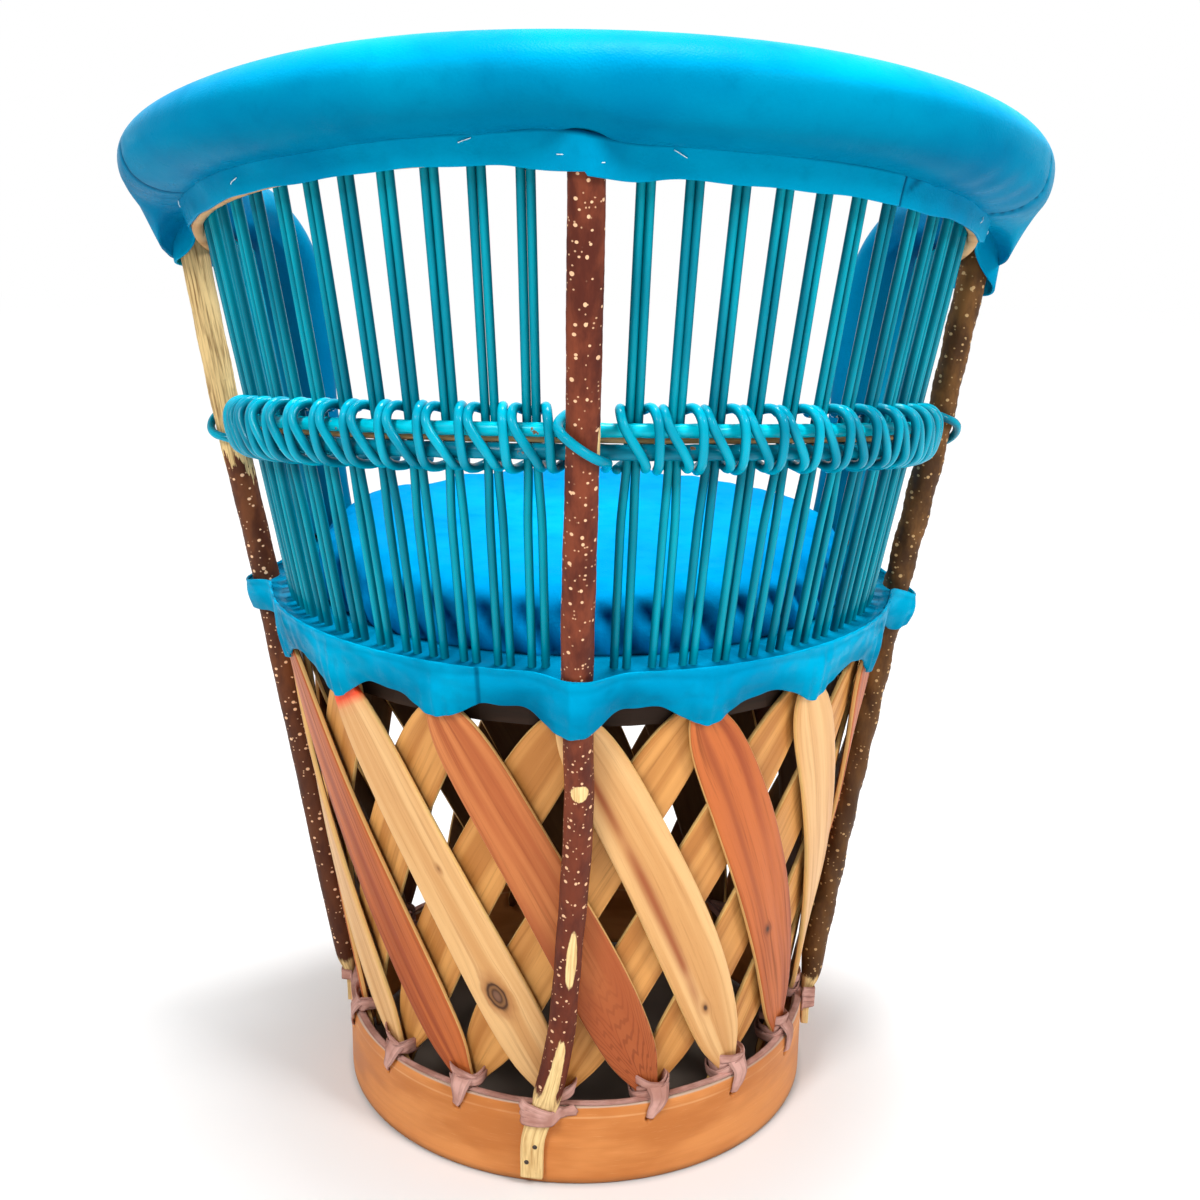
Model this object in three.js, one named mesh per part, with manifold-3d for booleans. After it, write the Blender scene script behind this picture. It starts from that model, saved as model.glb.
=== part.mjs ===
// An equipal: a barrel-shaped chair whose drum is a lattice of crossed slats lashed to a bent wood
// ring, and whose back is a cord web laced between a seat hoop and a padded, leather-covered rim.
// Millimetres, +Z up. The back of the chair faces -Y and the open front faces +Y. The shapes are
// worked out round the drum's upright axis, with angles measured from -Y towards +X, and the whole
// chair is then moved so that the origin is under the middle of its overall box.
import * as THREE from "three";
import { mergeVertices } from "three/addons/utils/BufferGeometryUtils.js";
import Module from "manifold-3d";

const wasm = await Module();
wasm.setup();

// Driving dimensions shared by several pieces

const clearance = 0.3;
const overrun = 2;

// Base ring: a strip of wood bent into a hoop, pierced for the lacing
const ringHeight = 68;
const ringOuterRadius = 194;
const ringThickness = 8;
const lacingHoleRadius = 3;
const lacingHoleDrop = 15;

// Slat lattice: one layer leans one way, the other layer leans the other way inside it
const lashingPoints = 16;
const slatSpanPoints = 2;
const slatWidth = 47;
const slatTipWidth = 14;
const slatThickness = 5;
const slatLayerGap = 3;
const slatFootTail = 22;
const slatHeadTail = 10;
const slatHeadDrop = 25;
const slatTipSharpness = 0.6;
const headRoom = 2;
const footPhase = -4.4;
const headPhase = -1.3;

// Seat: hoop, panel and cushion, with a leather skirt round them
const seatHoopTop = 417;
const seatHoopHeight = 32;
const seatHoopRadius = 222;
const seatHoopThickness = 9;
const seatPanelThickness = 8;
const seatPanelInset = 6;
const cushionInset = 1;
const cushionHeight = 52;
const cushionCrown = 12;
const cushionShoulder = 40;
const pleatCount = 36;
const pleatDepth = 4;
const skirtRise = 8;
const skirtDrop = 20;
const skirtScallop = 18;
const skirtThickness = 2.5;

// Cord web and its two mid hoops
const cordRadius = 2.8;
const lashingRadius = 2.6;
const cordGap = 0.6;
const pairCount = 14;
const pairMargin = 7;
const sideMargin = 6.5;
const backFlare = 0.18;
const webFootDrop = 7;
const midHoopHeightShare = 0.498;
const midHoopRiseShare = 0.553;
const upperRodRadius = 4;
const lowerRodRadius = 5.5;
const midRodPitch = 14;

// Rim: a bent hoop, the padded roll on it and the leather flap over it
const topHoopSideHeight = 680;
const topHoopRise = 76;
const topHoopThickness = 8;
const topHoopHeight = 12;
const rollOutset = 14;
const rollDepth = 40;
const rollRise = 27;
const legAngle = 117;
const legFootDepth = 22;
const flapThickness = 2.5;
const flapHeight = 17.5;

// Posts: bark-covered sticks, flattened where they are nailed to the ring
const postRadius = 11;
const tongueWidth = 18;
const tongueThickness = 8;
const tongueFoot = 8;

// Lacing strip round the base ring
const stripWidth = 6;
const stripThickness = 1.8;

// Worked-out sizes

const slatHeadCrossing = seatHoopTop - slatHeadDrop;
const cordPitch = 2 * cordRadius + cordGap;
const seatPanelRadius = seatHoopRadius - seatPanelInset;
const cushionRadius = seatHoopRadius - cushionInset;
const skirtTop = seatHoopTop + skirtRise;
const webFootHeight = seatHoopTop - webFootDrop;

const degrees = Math.PI / 180;
const pointAngle = 360 / lashingPoints;
const ringInnerRadius = ringOuterRadius - ringThickness;
const slatFootFace = ringInnerRadius - clearance;
const slatHeadFace =
  seatHoopRadius + headRoom + 2 * slatThickness + slatLayerGap;
const webFootRadius = seatHoopRadius + clearance + cordRadius;
const rodOffset = cordRadius + clearance + lowerRodRadius;
const seatBase = seatHoopTop + clearance + seatPanelThickness + clearance;
const mix = (a, b, t) => a + (b - a) * t;
const smooth = (t) => t * t * (3 - 2 * t);
const clamp01 = (t) => Math.min(1, Math.max(0, t));

// The outer face of the outer slats at a height: a cone from the ring up to the seat hoop
const slatFlare =
  (slatHeadFace - slatFootFace) / (slatHeadCrossing - ringHeight);
const slatFace = (z) => slatFootFace + slatFlare * (z - ringHeight);

// The cords' centrelines lie on a cone that opens upwards from the seat hoop
const cordRing = (z) => webFootRadius + backFlare * (z - webFootHeight);

// Heights that follow the sloping hoops round the chair
const midHoopSideHeight = mix(
  seatHoopTop,
  topHoopSideHeight,
  midHoopHeightShare,
);
const midHeight = (angle) =>
  midHoopSideHeight +
  midHoopRiseShare * topHoopRise * Math.cos(angle * degrees);
const topHeight = (angle) =>
  topHoopSideHeight + topHoopRise * Math.cos(angle * degrees);
const topHoopFace = (z) =>
  cordRing(z) + cordRadius + clearance + topHoopThickness;

// A point given by its angle round the chair, its radius and its height
const polar = (angle, radius, z) =>
  new THREE.Vector3(
    radius * Math.sin(angle * degrees),
    -radius * Math.cos(angle * degrees),
    z,
  );
const outward = (angle) => polar(angle, 1, 0);
const sideways = (angle) => polar(angle + 90, 1, 0);

// Shape helpers

// Joins rings of points into one closed surface: capped at both ends, or closed on itself
function loft(rings, closed = false) {
  const sides = rings[0].length;
  const positions = [];
  const faces = [];
  rings.forEach((ring) => ring.forEach((p) => positions.push(p.x, p.y, p.z)));
  const spans = closed ? rings.length : rings.length - 1;
  for (let i = 0; i < spans; i++) {
    const here = i * sides;
    const next = ((i + 1) % rings.length) * sides;
    for (let k = 0; k < sides; k++) {
      const m = (k + 1) % sides;
      faces.push(here + k, here + m, next + k);
      faces.push(here + m, next + m, next + k);
    }
  }
  if (!closed) {
    const last = (rings.length - 1) * sides;
    for (let k = 1; k < sides - 1; k++) {
      faces.push(0, k + 1, k);
      faces.push(last, last + k, last + k + 1);
    }
  }
  // The faces are turned over if the surface came out facing inwards
  const at = (index) => new THREE.Vector3().fromArray(positions, 3 * index);
  let volume = 0;
  for (let f = 0; f < faces.length; f += 3) {
    volume += at(faces[f]).dot(at(faces[f + 1]).cross(at(faces[f + 2])));
  }
  const geometry = new THREE.BufferGeometry();
  geometry.setAttribute(
    "position",
    new THREE.Float32BufferAttribute(positions, 3),
  );
  geometry.setIndex(volume < 0 ? faces.reverse() : faces);
  return geometry;
}

// The direction of a path at each of its points
function directions(points, closed = false) {
  const last = points.length - 1;
  return points.map((p, i) => {
    const before = i > 0 ? points[i - 1] : closed ? points[last] : p;
    const after = i < last ? points[i + 1] : closed ? points[0] : p;
    return after.clone().sub(before).normalize();
  });
}

// A round section swept along a path, its frame carried from point to point without twisting
function tube(points, radius, sides) {
  const along = directions(points);
  let side = new THREE.Vector3(0, 0, 1).cross(along[0]);
  if (side.length() < 0.1) side = new THREE.Vector3(1, 0, 0).cross(along[0]);
  const rings = points.map((p, i) => {
    side.sub(along[i].clone().multiplyScalar(side.dot(along[i]))).normalize();
    const up = along[i].clone().cross(side);
    return Array.from({ length: sides }, (_, k) => {
      const turn = (2 * Math.PI * k) / sides;
      return p
        .clone()
        .addScaledVector(side, radius * Math.cos(turn))
        .addScaledVector(up, radius * Math.sin(turn));
    });
  });
  return loft(rings);
}

// A flat strip swept along a path, its flat side turned to the normal given at each point
function strap(path, width, thickness) {
  const along = directions(path.map((s) => s.at));
  const rings = path.map(({ at, normal }, i) => {
    const across = along[i].clone().cross(normal).normalize();
    const out = across.clone().cross(along[i]).normalize();
    const corner = (a, b) =>
      at
        .clone()
        .addScaledVector(across, (a * width) / 2)
        .addScaledVector(out, (b * thickness) / 2);
    return [corner(-1, -1), corner(1, -1), corner(1, 1), corner(-1, 1)];
  });
  return loft(rings);
}

// The least gap between a cord and itself, from points on its centreline at least apart along it
function leastGap(points, thickness, apart) {
  const fine = [];
  const steps = 6;
  let run = 0;
  points.forEach((p, i) => {
    if (i === 0) return;
    const q = points[i - 1];
    for (let s = 0; s < steps; s++) {
      const t = s / steps;
      fine.push({ at: q.clone().lerp(p, t), run: run + t * q.distanceTo(p) });
    }
    run += q.distanceTo(p);
  });
  let least = Infinity;
  fine.forEach((a, i) => {
    for (let j = i + 1; j < fine.length; j++) {
      if (fine[j].run - a.run < apart) continue;
      least = Math.min(least, a.at.distanceTo(fine[j].at));
    }
  });
  return least - thickness;
}

// A closed geometry as a solid that can be cut, and back
function solid(geometry) {
  const bare = new THREE.BufferGeometry();
  bare.setAttribute("position", geometry.getAttribute("position"));
  if (geometry.index) bare.setIndex(geometry.index);
  const merged = mergeVertices(bare, clearance / 100);
  return new wasm.Manifold(
    new wasm.Mesh({
      numProp: 3,
      vertProperties: merged.attributes.position.array,
      triVerts: new Uint32Array(merged.index.array),
    }),
  );
}
function geometryOf(made) {
  const mesh = made.getMesh();
  const geometry = new THREE.BufferGeometry();
  geometry.setAttribute(
    "position",
    new THREE.Float32BufferAttribute(mesh.vertProperties, 3),
  );
  geometry.setIndex(new THREE.BufferAttribute(mesh.triVerts, 1));
  return geometry;
}

// Materials

const finish = (color, roughness) =>
  new THREE.MeshStandardMaterial({ color, roughness, metalness: 0 });
const ringWood = finish(0xd88f4c, 0.6);
const paleSlatWood = finish(0xe3b478, 0.6);
const redSlatWood = finish(0xb06a3e, 0.6);
const bark = finish(0x5b2c22, 0.8);
const hoopWood = finish(0xcfa878, 0.7);
const paintedRod = finish(0x0a8fae, 0.45);
const leather = finish(0x0aa0d0, 0.4);
const cordPlastic = finish(0x078a9e, 0.25);
const rawhide = finish(0xa87868, 0.8);

const chair = new THREE.Group();
function piece(name, geometry, material) {
  const mesh = new THREE.Mesh(geometry, material);
  mesh.name = name;
  chair.add(mesh);
  return mesh;
}

// Base ring

// A ring of rectangular section, turned from its profile
function hoopGeometry(outerRadius, thickness, bottom, height, segments) {
  const inner = outerRadius - thickness;
  const profile = [
    new THREE.Vector2(inner, bottom),
    new THREE.Vector2(outerRadius, bottom),
    new THREE.Vector2(outerRadius, bottom + height),
    new THREE.Vector2(inner, bottom + height),
    new THREE.Vector2(inner, bottom),
  ];
  return new THREE.LatheGeometry(profile, segments).rotateX(Math.PI / 2);
}

// The angle of a lashing point on the base ring and on the seat hoop
const footAngle = (point) => point * pointAngle + footPhase;
const headAngle = (point) => point * pointAngle + headPhase;

function baseRing() {
  let ring = solid(
    hoopGeometry(ringOuterRadius, ringThickness, 0, ringHeight, 48),
  );
  for (let point = 0; point < lashingPoints; point++) {
    const drill = new THREE.CylinderGeometry(
      lacingHoleRadius,
      lacingHoleRadius,
      ringThickness + 2 * overrun,
      6,
    );
    const middle = ringOuterRadius - ringThickness / 2;
    const at = polar(footAngle(point), middle, ringHeight - lacingHoleDrop);
    drill.rotateZ(footAngle(point) * degrees);
    drill.translate(at.x, at.y, at.z);
    ring = ring.subtract(solid(drill));
  }
  return geometryOf(ring);
}
piece("base_ring", baseRing(), ringWood);

// Slats

// Half the slat's width along its length: rounded points at both ends of a broad board
const slatHalfWidth = (share) =>
  mix(
    slatTipWidth / 2,
    slatWidth / 2,
    Math.sin(Math.PI * clamp01(share)) ** slatTipSharpness,
  );

// A slat crosses its foot point at the ring's top and its head point under the seat hoop. It leans
// by slatSpanPoints, follows the cone along its length, and stays flat across its width. depth is
// how far its outer corners lie inside the slats' outer cone.
function slatGeometry(headPoint, lean, depth) {
  const stations = 10;
  const foot = footAngle(headPoint + lean * slatSpanPoints);
  const head = headAngle(headPoint);
  const low = ringHeight - slatFootTail;
  const high = slatHeadCrossing + slatHeadTail;
  const centre = (z) => {
    const t = (z - ringHeight) / (slatHeadCrossing - ringHeight);
    return polar(mix(foot, head, t), slatFace(z) - depth, z);
  };
  const rings = [];
  for (let i = 0; i <= stations; i++) {
    const share = i / stations;
    const z = mix(low, high, share);
    const at = centre(z);
    const along = centre(z + overrun)
      .sub(centre(z - overrun))
      .normalize();
    const round = new THREE.Vector3(-at.y, at.x, 0).normalize();
    const face = round.clone().cross(along).normalize();
    if (face.dot(new THREE.Vector3(at.x, at.y, 0)) < 0) face.negate();
    const across = along.clone().cross(face).normalize();
    const half = slatHalfWidth(share);
    const sag = (half * half) / (2 * slatFace(z));
    const corner = (a, inset) =>
      at
        .clone()
        .addScaledVector(across, a * half)
        .addScaledVector(face, -sag - inset);
    rings.push([
      corner(1, 0),
      corner(-1, 0),
      corner(-1, slatThickness),
      corner(1, slatThickness),
    ]);
  }
  return loft(rings);
}

for (let point = 0; point < lashingPoints; point++) {
  const label = String(point + 1).padStart(2, "0");
  const outer = slatGeometry(point, 1, 0);
  const inner = slatGeometry(point, -1, slatThickness + slatLayerGap);
  piece(`outer_slat_${label}`, outer, point % 2 ? redSlatWood : paleSlatWood);
  piece(`inner_slat_${label}`, inner, paleSlatWood);
}

// Posts

// One stick: stations of height, angle, radius of its centre, and its half width and half depth
function postGeometry(stations) {
  const sides = 8;
  const rings = stations.map(({ z, angle, radius, width, depth }) =>
    Array.from({ length: sides }, (_, k) => {
      const turn = (2 * Math.PI * (k + 0.5)) / sides;
      return polar(angle, radius, z)
        .addScaledVector(sideways(angle), width * Math.cos(turn))
        .addScaledVector(outward(angle), depth * Math.sin(turn));
    }),
  );
  return loft(rings);
}

// The drum half of a post: a flat tongue on the ring, then a round stick against the slats
function drumStations(angle, lean) {
  const tongueRadius = ringOuterRadius + clearance + tongueThickness / 2;
  const fit = (z) => slatFace(z) + clearance + postRadius;
  const shoulder = ringHeight + 1.3 * postRadius;
  const round = ringHeight + 4 * postRadius;
  const tongue = { width: tongueWidth / 2, depth: tongueThickness / 2 };
  const stick = { width: postRadius, depth: postRadius };
  const half = (tongue.depth + stick.depth) / 2;
  return [
    { z: tongueFoot, angle: angle + lean, radius: tongueRadius, ...tongue },
    {
      z: ringHeight - clearance,
      angle: mix(angle + lean, angle, 0.15),
      radius: tongueRadius,
      ...tongue,
    },
    {
      z: shoulder,
      angle: mix(angle + lean, angle, 0.25),
      radius: Math.max(ringOuterRadius, slatFace(shoulder)) + clearance + half,
      width: stick.width,
      depth: half,
    },
    {
      z: round,
      angle: mix(angle + lean, angle, 0.45),
      radius: fit(round),
      ...stick,
    },
    {
      z: mix(round, seatHoopTop, 0.35),
      angle: mix(angle + lean, angle, 0.75),
      radius: fit(mix(round, seatHoopTop, 0.35)),
      ...stick,
    },
    {
      z: mix(round, seatHoopTop, 0.7),
      angle,
      radius: fit(mix(round, seatHoopTop, 0.7)),
      ...stick,
    },
    { z: seatHoopTop, angle, radius: fit(seatHoopTop), ...stick },
  ];
}

// A back post carries on past the mid hoops, outside them, up to the underside of the roll
function backPost(angle, lean) {
  const stick = { width: postRadius, depth: postRadius };
  const mid = midHeight(angle);
  const top = topHeight(angle) + topHoopHeight + clearance;
  const atMid = cordRing(mid) + rodOffset + lowerRodRadius + 2 * clearance;
  const atTop = topHoopFace(top) + clearance;
  return postGeometry([
    ...drumStations(angle, lean),
    { z: mid, angle, radius: atMid + postRadius, ...stick },
    { z: top, angle, radius: atTop + postRadius, ...stick },
  ]);
}

// A front post stops at the seat, under the leg of the padded roll
function frontPost(angle) {
  const stations = drumStations(angle, 0);
  const { radius, width, depth } = stations[stations.length - 1];
  return postGeometry([
    ...stations,
    { z: seatBase, angle, radius, width, depth },
  ]);
}

const sideAngle = 90;
piece("rear_post", backPost(0, footPhase), bark);
piece("left_post", backPost(-sideAngle, footPhase), bark);
piece("right_post", backPost(sideAngle, footPhase), bark);
const postFeet = [
  footPhase,
  footPhase - sideAngle,
  footPhase + sideAngle,
  -legAngle,
  legAngle,
];
piece("front_left_post", frontPost(-legAngle), bark);
piece("front_right_post", frontPost(legAngle), bark);

// Seat

piece(
  "seat_hoop",
  hoopGeometry(
    seatHoopRadius,
    seatHoopThickness,
    seatHoopTop - seatHoopHeight,
    seatHoopHeight,
    40,
  ),
  hoopWood,
);
piece(
  "seat_panel",
  new THREE.CylinderGeometry(
    seatPanelRadius,
    seatPanelRadius,
    seatPanelThickness,
    40,
  )
    .rotateX(Math.PI / 2)
    .translate(0, 0, seatHoopTop + clearance + seatPanelThickness / 2),
  hoopWood,
);

// The cushion: a flat base, pleated sides that draw in to the base, and a crowned top
function cushionGeometry() {
  const columns = 2 * pleatCount;
  const sideRows = 5;
  const topShares = [0.94, 0.8, 0.5];
  const pleat = (k, share) => (k % 2 ? 0 : pleatDepth * share);
  const shoulderHeight = cushionHeight - cushionCrown;
  const ringAt = (radius, z, share) =>
    Array.from({ length: columns }, (_, k) =>
      polar((360 * k) / columns, radius - pleat(k, share), seatBase + z),
    );
  const rings = [ringAt(cushionRadius - pleatDepth, 0, 0)];
  for (let i = 0; i <= sideRows; i++) {
    const turn = (i / sideRows) * (Math.PI / 2);
    const out =
      cushionRadius - cushionShoulder * (1 - Math.cos(turn)) * (i / sideRows);
    rings.push(
      ringAt(out, pleatDepth + (shoulderHeight - pleatDepth) * Math.sin(turn),
        Math.cos(turn)),
    );
  }
  const topRadius = cushionRadius - cushionShoulder;
  topShares.forEach((share) =>
    rings.push(
      ringAt(
        topRadius * share,
        shoulderHeight + cushionCrown * (1 - share * share),
        0,
      ),
    ),
  );
  return loft(rings);
}
piece("seat_cushion", cushionGeometry(), leather);

// The skirt: a leather band outside the slat heads and posts, with a point at each lashing
const postAngles = [0, -sideAngle, sideAngle, -legAngle, legAngle];
const apart = (a, b) => {
  const turn = (((a - b) % 360) + 540) % 360;
  return Math.abs(turn - 180);
};

// How far the leather stands out at an angle to pass over a post of a given centre radius
function overPost(angle, plain, postCentre) {
  let reach = plain;
  postAngles.forEach((at) => {
    const away = apart(angle, at) * degrees * postCentre;
    const tent = 1 - smooth(clamp01(away / (3.2 * postRadius)));
    const peak = postCentre + postRadius + 3 * clearance;
    reach = Math.max(reach, mix(plain, peak, Math.min(1, 1.6 * tent)));
  });
  return reach;
}

function skirtGeometry() {
  const columns = 8 * lashingPoints;
  const rings = [];
  for (let k = 0; k < columns; k++) {
    const angle = (360 * k) / columns;
    const phase = (angle - headPhase) / pointAngle;
    const near = 1 - 2 * Math.abs(phase - Math.round(phase));
    const drop = skirtDrop + skirtScallop * near ** 3;
    const bottom = skirtTop - drop;
    const face = (z) =>
      overPost(
        angle,
        slatFace(z) + clearance,
        slatFace(z) + clearance + postRadius,
      ) + clearance;
    rings.push([
      polar(angle, face(skirtTop), skirtTop),
      polar(angle, face(bottom), bottom),
      polar(angle, face(bottom) + skirtThickness, bottom),
      polar(angle, face(skirtTop) + skirtThickness, skirtTop),
    ]);
  }
  return loft(rings, true);
}
piece("seat_skirt", skirtGeometry(), leather);

// Mid hoops and top hoop

// A stick bent round the back, from one end angle to the other. Its straight spans touch the
// circle from outside, so that they keep clear of the cords behind them.
const midEndAngle = 112;
const rodRing = (z) => cordRing(z) + rodOffset;
function rodGeometry(radius, rise) {
  const inset = lowerRodRadius - radius;
  const spans = 44;
  const swell = 1 / Math.cos((midEndAngle / spans) * degrees);
  const points = [];
  for (let i = 0; i <= spans; i++) {
    const angle = mix(-midEndAngle, midEndAngle, i / spans);
    const z = midHeight(angle) + rise;
    points.push(polar(angle, (rodRing(z) - inset) * swell, z));
  }
  return tube(points, radius, 6);
}
piece("mid_hoop_upper", rodGeometry(upperRodRadius, midRodPitch / 2), paintedRod);
piece("mid_hoop_lower", rodGeometry(lowerRodRadius, -midRodPitch / 2), paintedRod);

// A strip bent round the back: its section is upright, from inner to outer face
function bandGeometry(endAngle, spans, innerAt, thickness, bottomAt, height) {
  const rings = [];
  for (let i = 0; i <= spans; i++) {
    const angle = mix(-endAngle, endAngle, i / spans);
    const z = bottomAt(angle);
    const low = innerAt(angle, z);
    const high = innerAt(angle, z + height);
    rings.push([
      polar(angle, low + thickness, z),
      polar(angle, low, z),
      polar(angle, high, z + height),
      polar(angle, high + thickness, z + height),
    ]);
  }
  return loft(rings);
}
const topEndAngle = 104;
const rimSpans = 68;
piece(
  "top_hoop",
  bandGeometry(
    topEndAngle,
    rimSpans,
    (angle, z) => topHoopFace(z) - topHoopThickness,
    topHoopThickness,
    topHeight,
    topHoopHeight,
  ),
  hoopWood,
);
piece(
  "rim_flap",
  bandGeometry(
    topEndAngle,
    rimSpans,
    (angle, z) =>
      overPost(
        angle,
        topHoopFace(z),
        topHoopFace(z) + clearance + postRadius,
      ) + clearance,
    flapThickness,
    (angle) => topHeight(angle) - clearance,
    flapHeight,
  ),
  leather,
);

// The padded roll

// The roll runs level with the top hoop round the back, turns down over the arms and ends in two
// legs that stand on the front posts. Its path is a smooth curve through these stations.
const rollSeat = topHoopHeight + 2 * cordRadius + 3 * clearance;
const rollHeight = (angle) => topHeight(angle) + rollSeat + rollRise;
const rollRing = (z) =>
  cordRing(Math.max(z - rollRise, seatBase)) + cordRadius + rollOutset;
const turnStart = 105;
const legShares = [
  { share: 0.34, drop: 0.04, width: 0.98 },
  { share: 0.68, drop: 0.11, width: 0.94 },
  { share: 0.9, drop: 0.22, width: 0.9 },
  { share: 0.99, drop: 0.38, width: 0.84 },
  { share: 1, drop: 0.6, width: 0.74 },
  { share: 1, drop: 0.8, width: 0.68 },
  { share: 1, drop: 1, width: 0.65 },
];

function rollGeometry() {
  const sides = 12;
  const spans = 26;
  const legFoot = seatBase + clearance;
  const side = (sign) =>
    legShares.map(({ share, drop, width }) => {
      const start = rollHeight(turnStart);
      const z = mix(start, legFoot, drop);
      const angle = mix(turnStart, legAngle, share);
      const slim = smooth(clamp01(drop / 0.8));
      return {
        at: polar(sign * angle, rollRing(z), z),
        angle: sign * angle,
        depth: mix(rollDepth, legFootDepth, slim),
        width: rollRise * width,
      };
    });
  const back = Array.from({ length: spans + 1 }, (_, i) => {
    const angle = mix(-turnStart, turnStart, i / spans);
    const z = rollHeight(angle);
    return {
      at: polar(angle, rollRing(z), z),
      angle,
      depth: rollDepth,
      width: rollRise,
    };
  });
  const stations = [...side(-1).reverse(), ...back, ...side(1)];
  const along = directions(stations.map((s) => s.at));
  const last = stations.length - 1;
  along[0] = new THREE.Vector3(0, 0, 1);
  along[last] = new THREE.Vector3(0, 0, -1);
  const rings = stations.map(({ at, angle, depth, width }, i) => {
    const out = outward(angle);
    out.sub(along[i].clone().multiplyScalar(out.dot(along[i]))).normalize();
    const up = out.clone().cross(along[i]).normalize();
    return Array.from({ length: sides }, (_, k) => {
      const turn = (2 * Math.PI * k) / sides;
      return at
        .clone()
        .addScaledVector(out, depth * Math.cos(turn))
        .addScaledVector(up, width * Math.sin(turn));
    });
  });
  return loft(rings);
}
piece("rim_roll", rollGeometry(), leather);

// Cord web

// The angles of the cord pairs from one angle to another, evenly spread
const pairAngles = (from, to, count) =>
  Array.from({ length: count }, (_, i) => mix(from, to, i / (count - 1)));

// One cord laced up and down: each pair is a hairpin over the top hoop, and the cord runs along
// the seat hoop's outer face from each pair to the next
const hairpinShares = [
  { over: 0, out: 0 },
  { over: 0.75, out: 0.25 },
  { over: 1, out: 1 },
];
function webPath(angles) {
  const turn = cordRadius + clearance;
  const bend = turn + topHoopThickness / 2;
  return angles.flatMap((angle) => {
    const strand = (sign, z, out) => {
      const radius = cordRing(z);
      const shift = (sign * cordPitch) / 2 / radius / degrees;
      return polar(angle + shift, radius + out, z);
    };
    const side = (sign) => {
      const hoopTop = topHeight(angle) + topHoopHeight + clearance;
      const shift = (sign * cordPitch) / 2 / cordRing(hoopTop) / degrees;
      const level = topHeight(angle + shift) + topHoopHeight + clearance;
      return [
        strand(sign, webFootHeight, 0),
        ...hairpinShares.map(({ over, out }) =>
          strand(sign, level + over * turn, out * turn),
        ),
        strand(sign, level + turn, bend),
      ];
    };
    return [...side(-1), ...side(1).reverse()];
  });
}

const cordSides = 5;
function web(name, angles) {
  const path = webPath(angles);
  const gap = leastGap(path, 2 * cordRadius, 4 * cordRadius);
  console.log(`${name}: least gap to itself ${gap.toFixed(2)} mm`);
  piece(name, tube(path, cordRadius, cordSides), cordPlastic);
}

const sector = pairAngles(pairMargin, sideAngle - pairMargin, pairCount);
const third = Math.ceil(pairCount / 3);
const sectorParts = [
  sector.slice(0, third),
  sector.slice(third, pairCount - third),
  sector.slice(pairCount - third),
];
const pairPitch = sector[1] - sector[0];
const sideCount = 2;
const firstSide = sideAngle + sideMargin;
const sidePairs = pairAngles(firstSide, firstSide + pairPitch, sideCount);
const mirrored = (angles) => angles.map((a) => -a).reverse();
sectorParts.forEach((angles, i) => {
  web(`rear_right_cords_${i + 1}`, angles);
  web(`rear_left_cords_${i + 1}`, mirrored(angles));
});
web("right_side_cords", sidePairs);
web("left_side_cords", mirrored(sidePairs));

// Lashing of the mid hoops

// For each pair the lashing cord passes behind the pair under the hoops, comes up across the front
// of both hoops, passes behind the pair above them and comes down the front again. across is in
// cord pitches, up in heights of the stack of rods, out in front or back depths of the stack.
const loopShares = [
  { across: -1.7, up: -1.35, out: -0.57 },
  { across: -0.8, up: -1.25, out: -1.08 },
  { across: 0.8, up: -1.06, out: -1.08 },
  { across: 1.7, up: -1.04, out: -0.57 },
  { across: 1.35, up: -1.05, out: 0.35 },
  { across: 1.2, up: -0.72, out: 1.03 },
  { across: -1.2, up: 0.75, out: 1.03 },
  { across: -1.42, up: 1.13, out: 0 },
  { across: -1.7, up: 1.05, out: -0.57 },
  { across: -0.8, up: 1.1, out: -1.08 },
  { across: 0.8, up: 1.34, out: -1.08 },
  { across: 1.7, up: 1.42, out: -0.57 },
  { across: 1.85, up: 1.2, out: 0 },
  { across: 2.05, up: 0.75, out: 1.03 },
  { across: 2.25, up: -0.72, out: 1.03 },
  { across: 2.35, up: -1.06, out: 0.35 },
];

// A post is tied to the rods by a loop that goes behind the rods beside it, over the upper rod,
// slantwise across the post's face and under the lower rod. across and out are in tie reaches.
const tieShares = [
  { across: -0.75, up: -0.85, out: -1.1 },
  { across: -0.75, up: 0.92, out: -1.1 },
  { across: -0.72, up: 1.2, out: 0 },
  { across: -0.92, up: 1.12, out: 0.95 },
  { across: -1.04, up: 0.9, out: 2 },
  { across: -0.74, up: 0.6, out: 3.32 },
  { across: 0, up: 0, out: 3.8 },
  { across: 0.72, up: -0.45, out: 3.32 },
  { across: 1.02, up: -0.64, out: 2 },
  { across: 1.02, up: -0.96, out: 0.93 },
  { across: 1.02, up: -1.12, out: 0 },
];
const frontLevel = lowerRodRadius + clearance + cordRadius;
const behindLevel = rodOffset + 2 * cordRadius + clearance;
const stackUp = midRodPitch / 2 + upperRodRadius + clearance + cordRadius;
const stackDown = midRodPitch / 2 + lowerRodRadius + clearance + cordRadius;
const tieReach = postRadius + cordRadius + clearance;

// A point beside the mid hoops: across in mm, up in shares of the stack, and out in mm
function besideRods(angle, across, up, out) {
  const place = angle + across / rodRing(midHeight(angle)) / degrees;
  const z = midHeight(place) + up * (up > 0 ? stackUp : stackDown);
  return polar(place, rodRing(z) + out, z);
}

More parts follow.
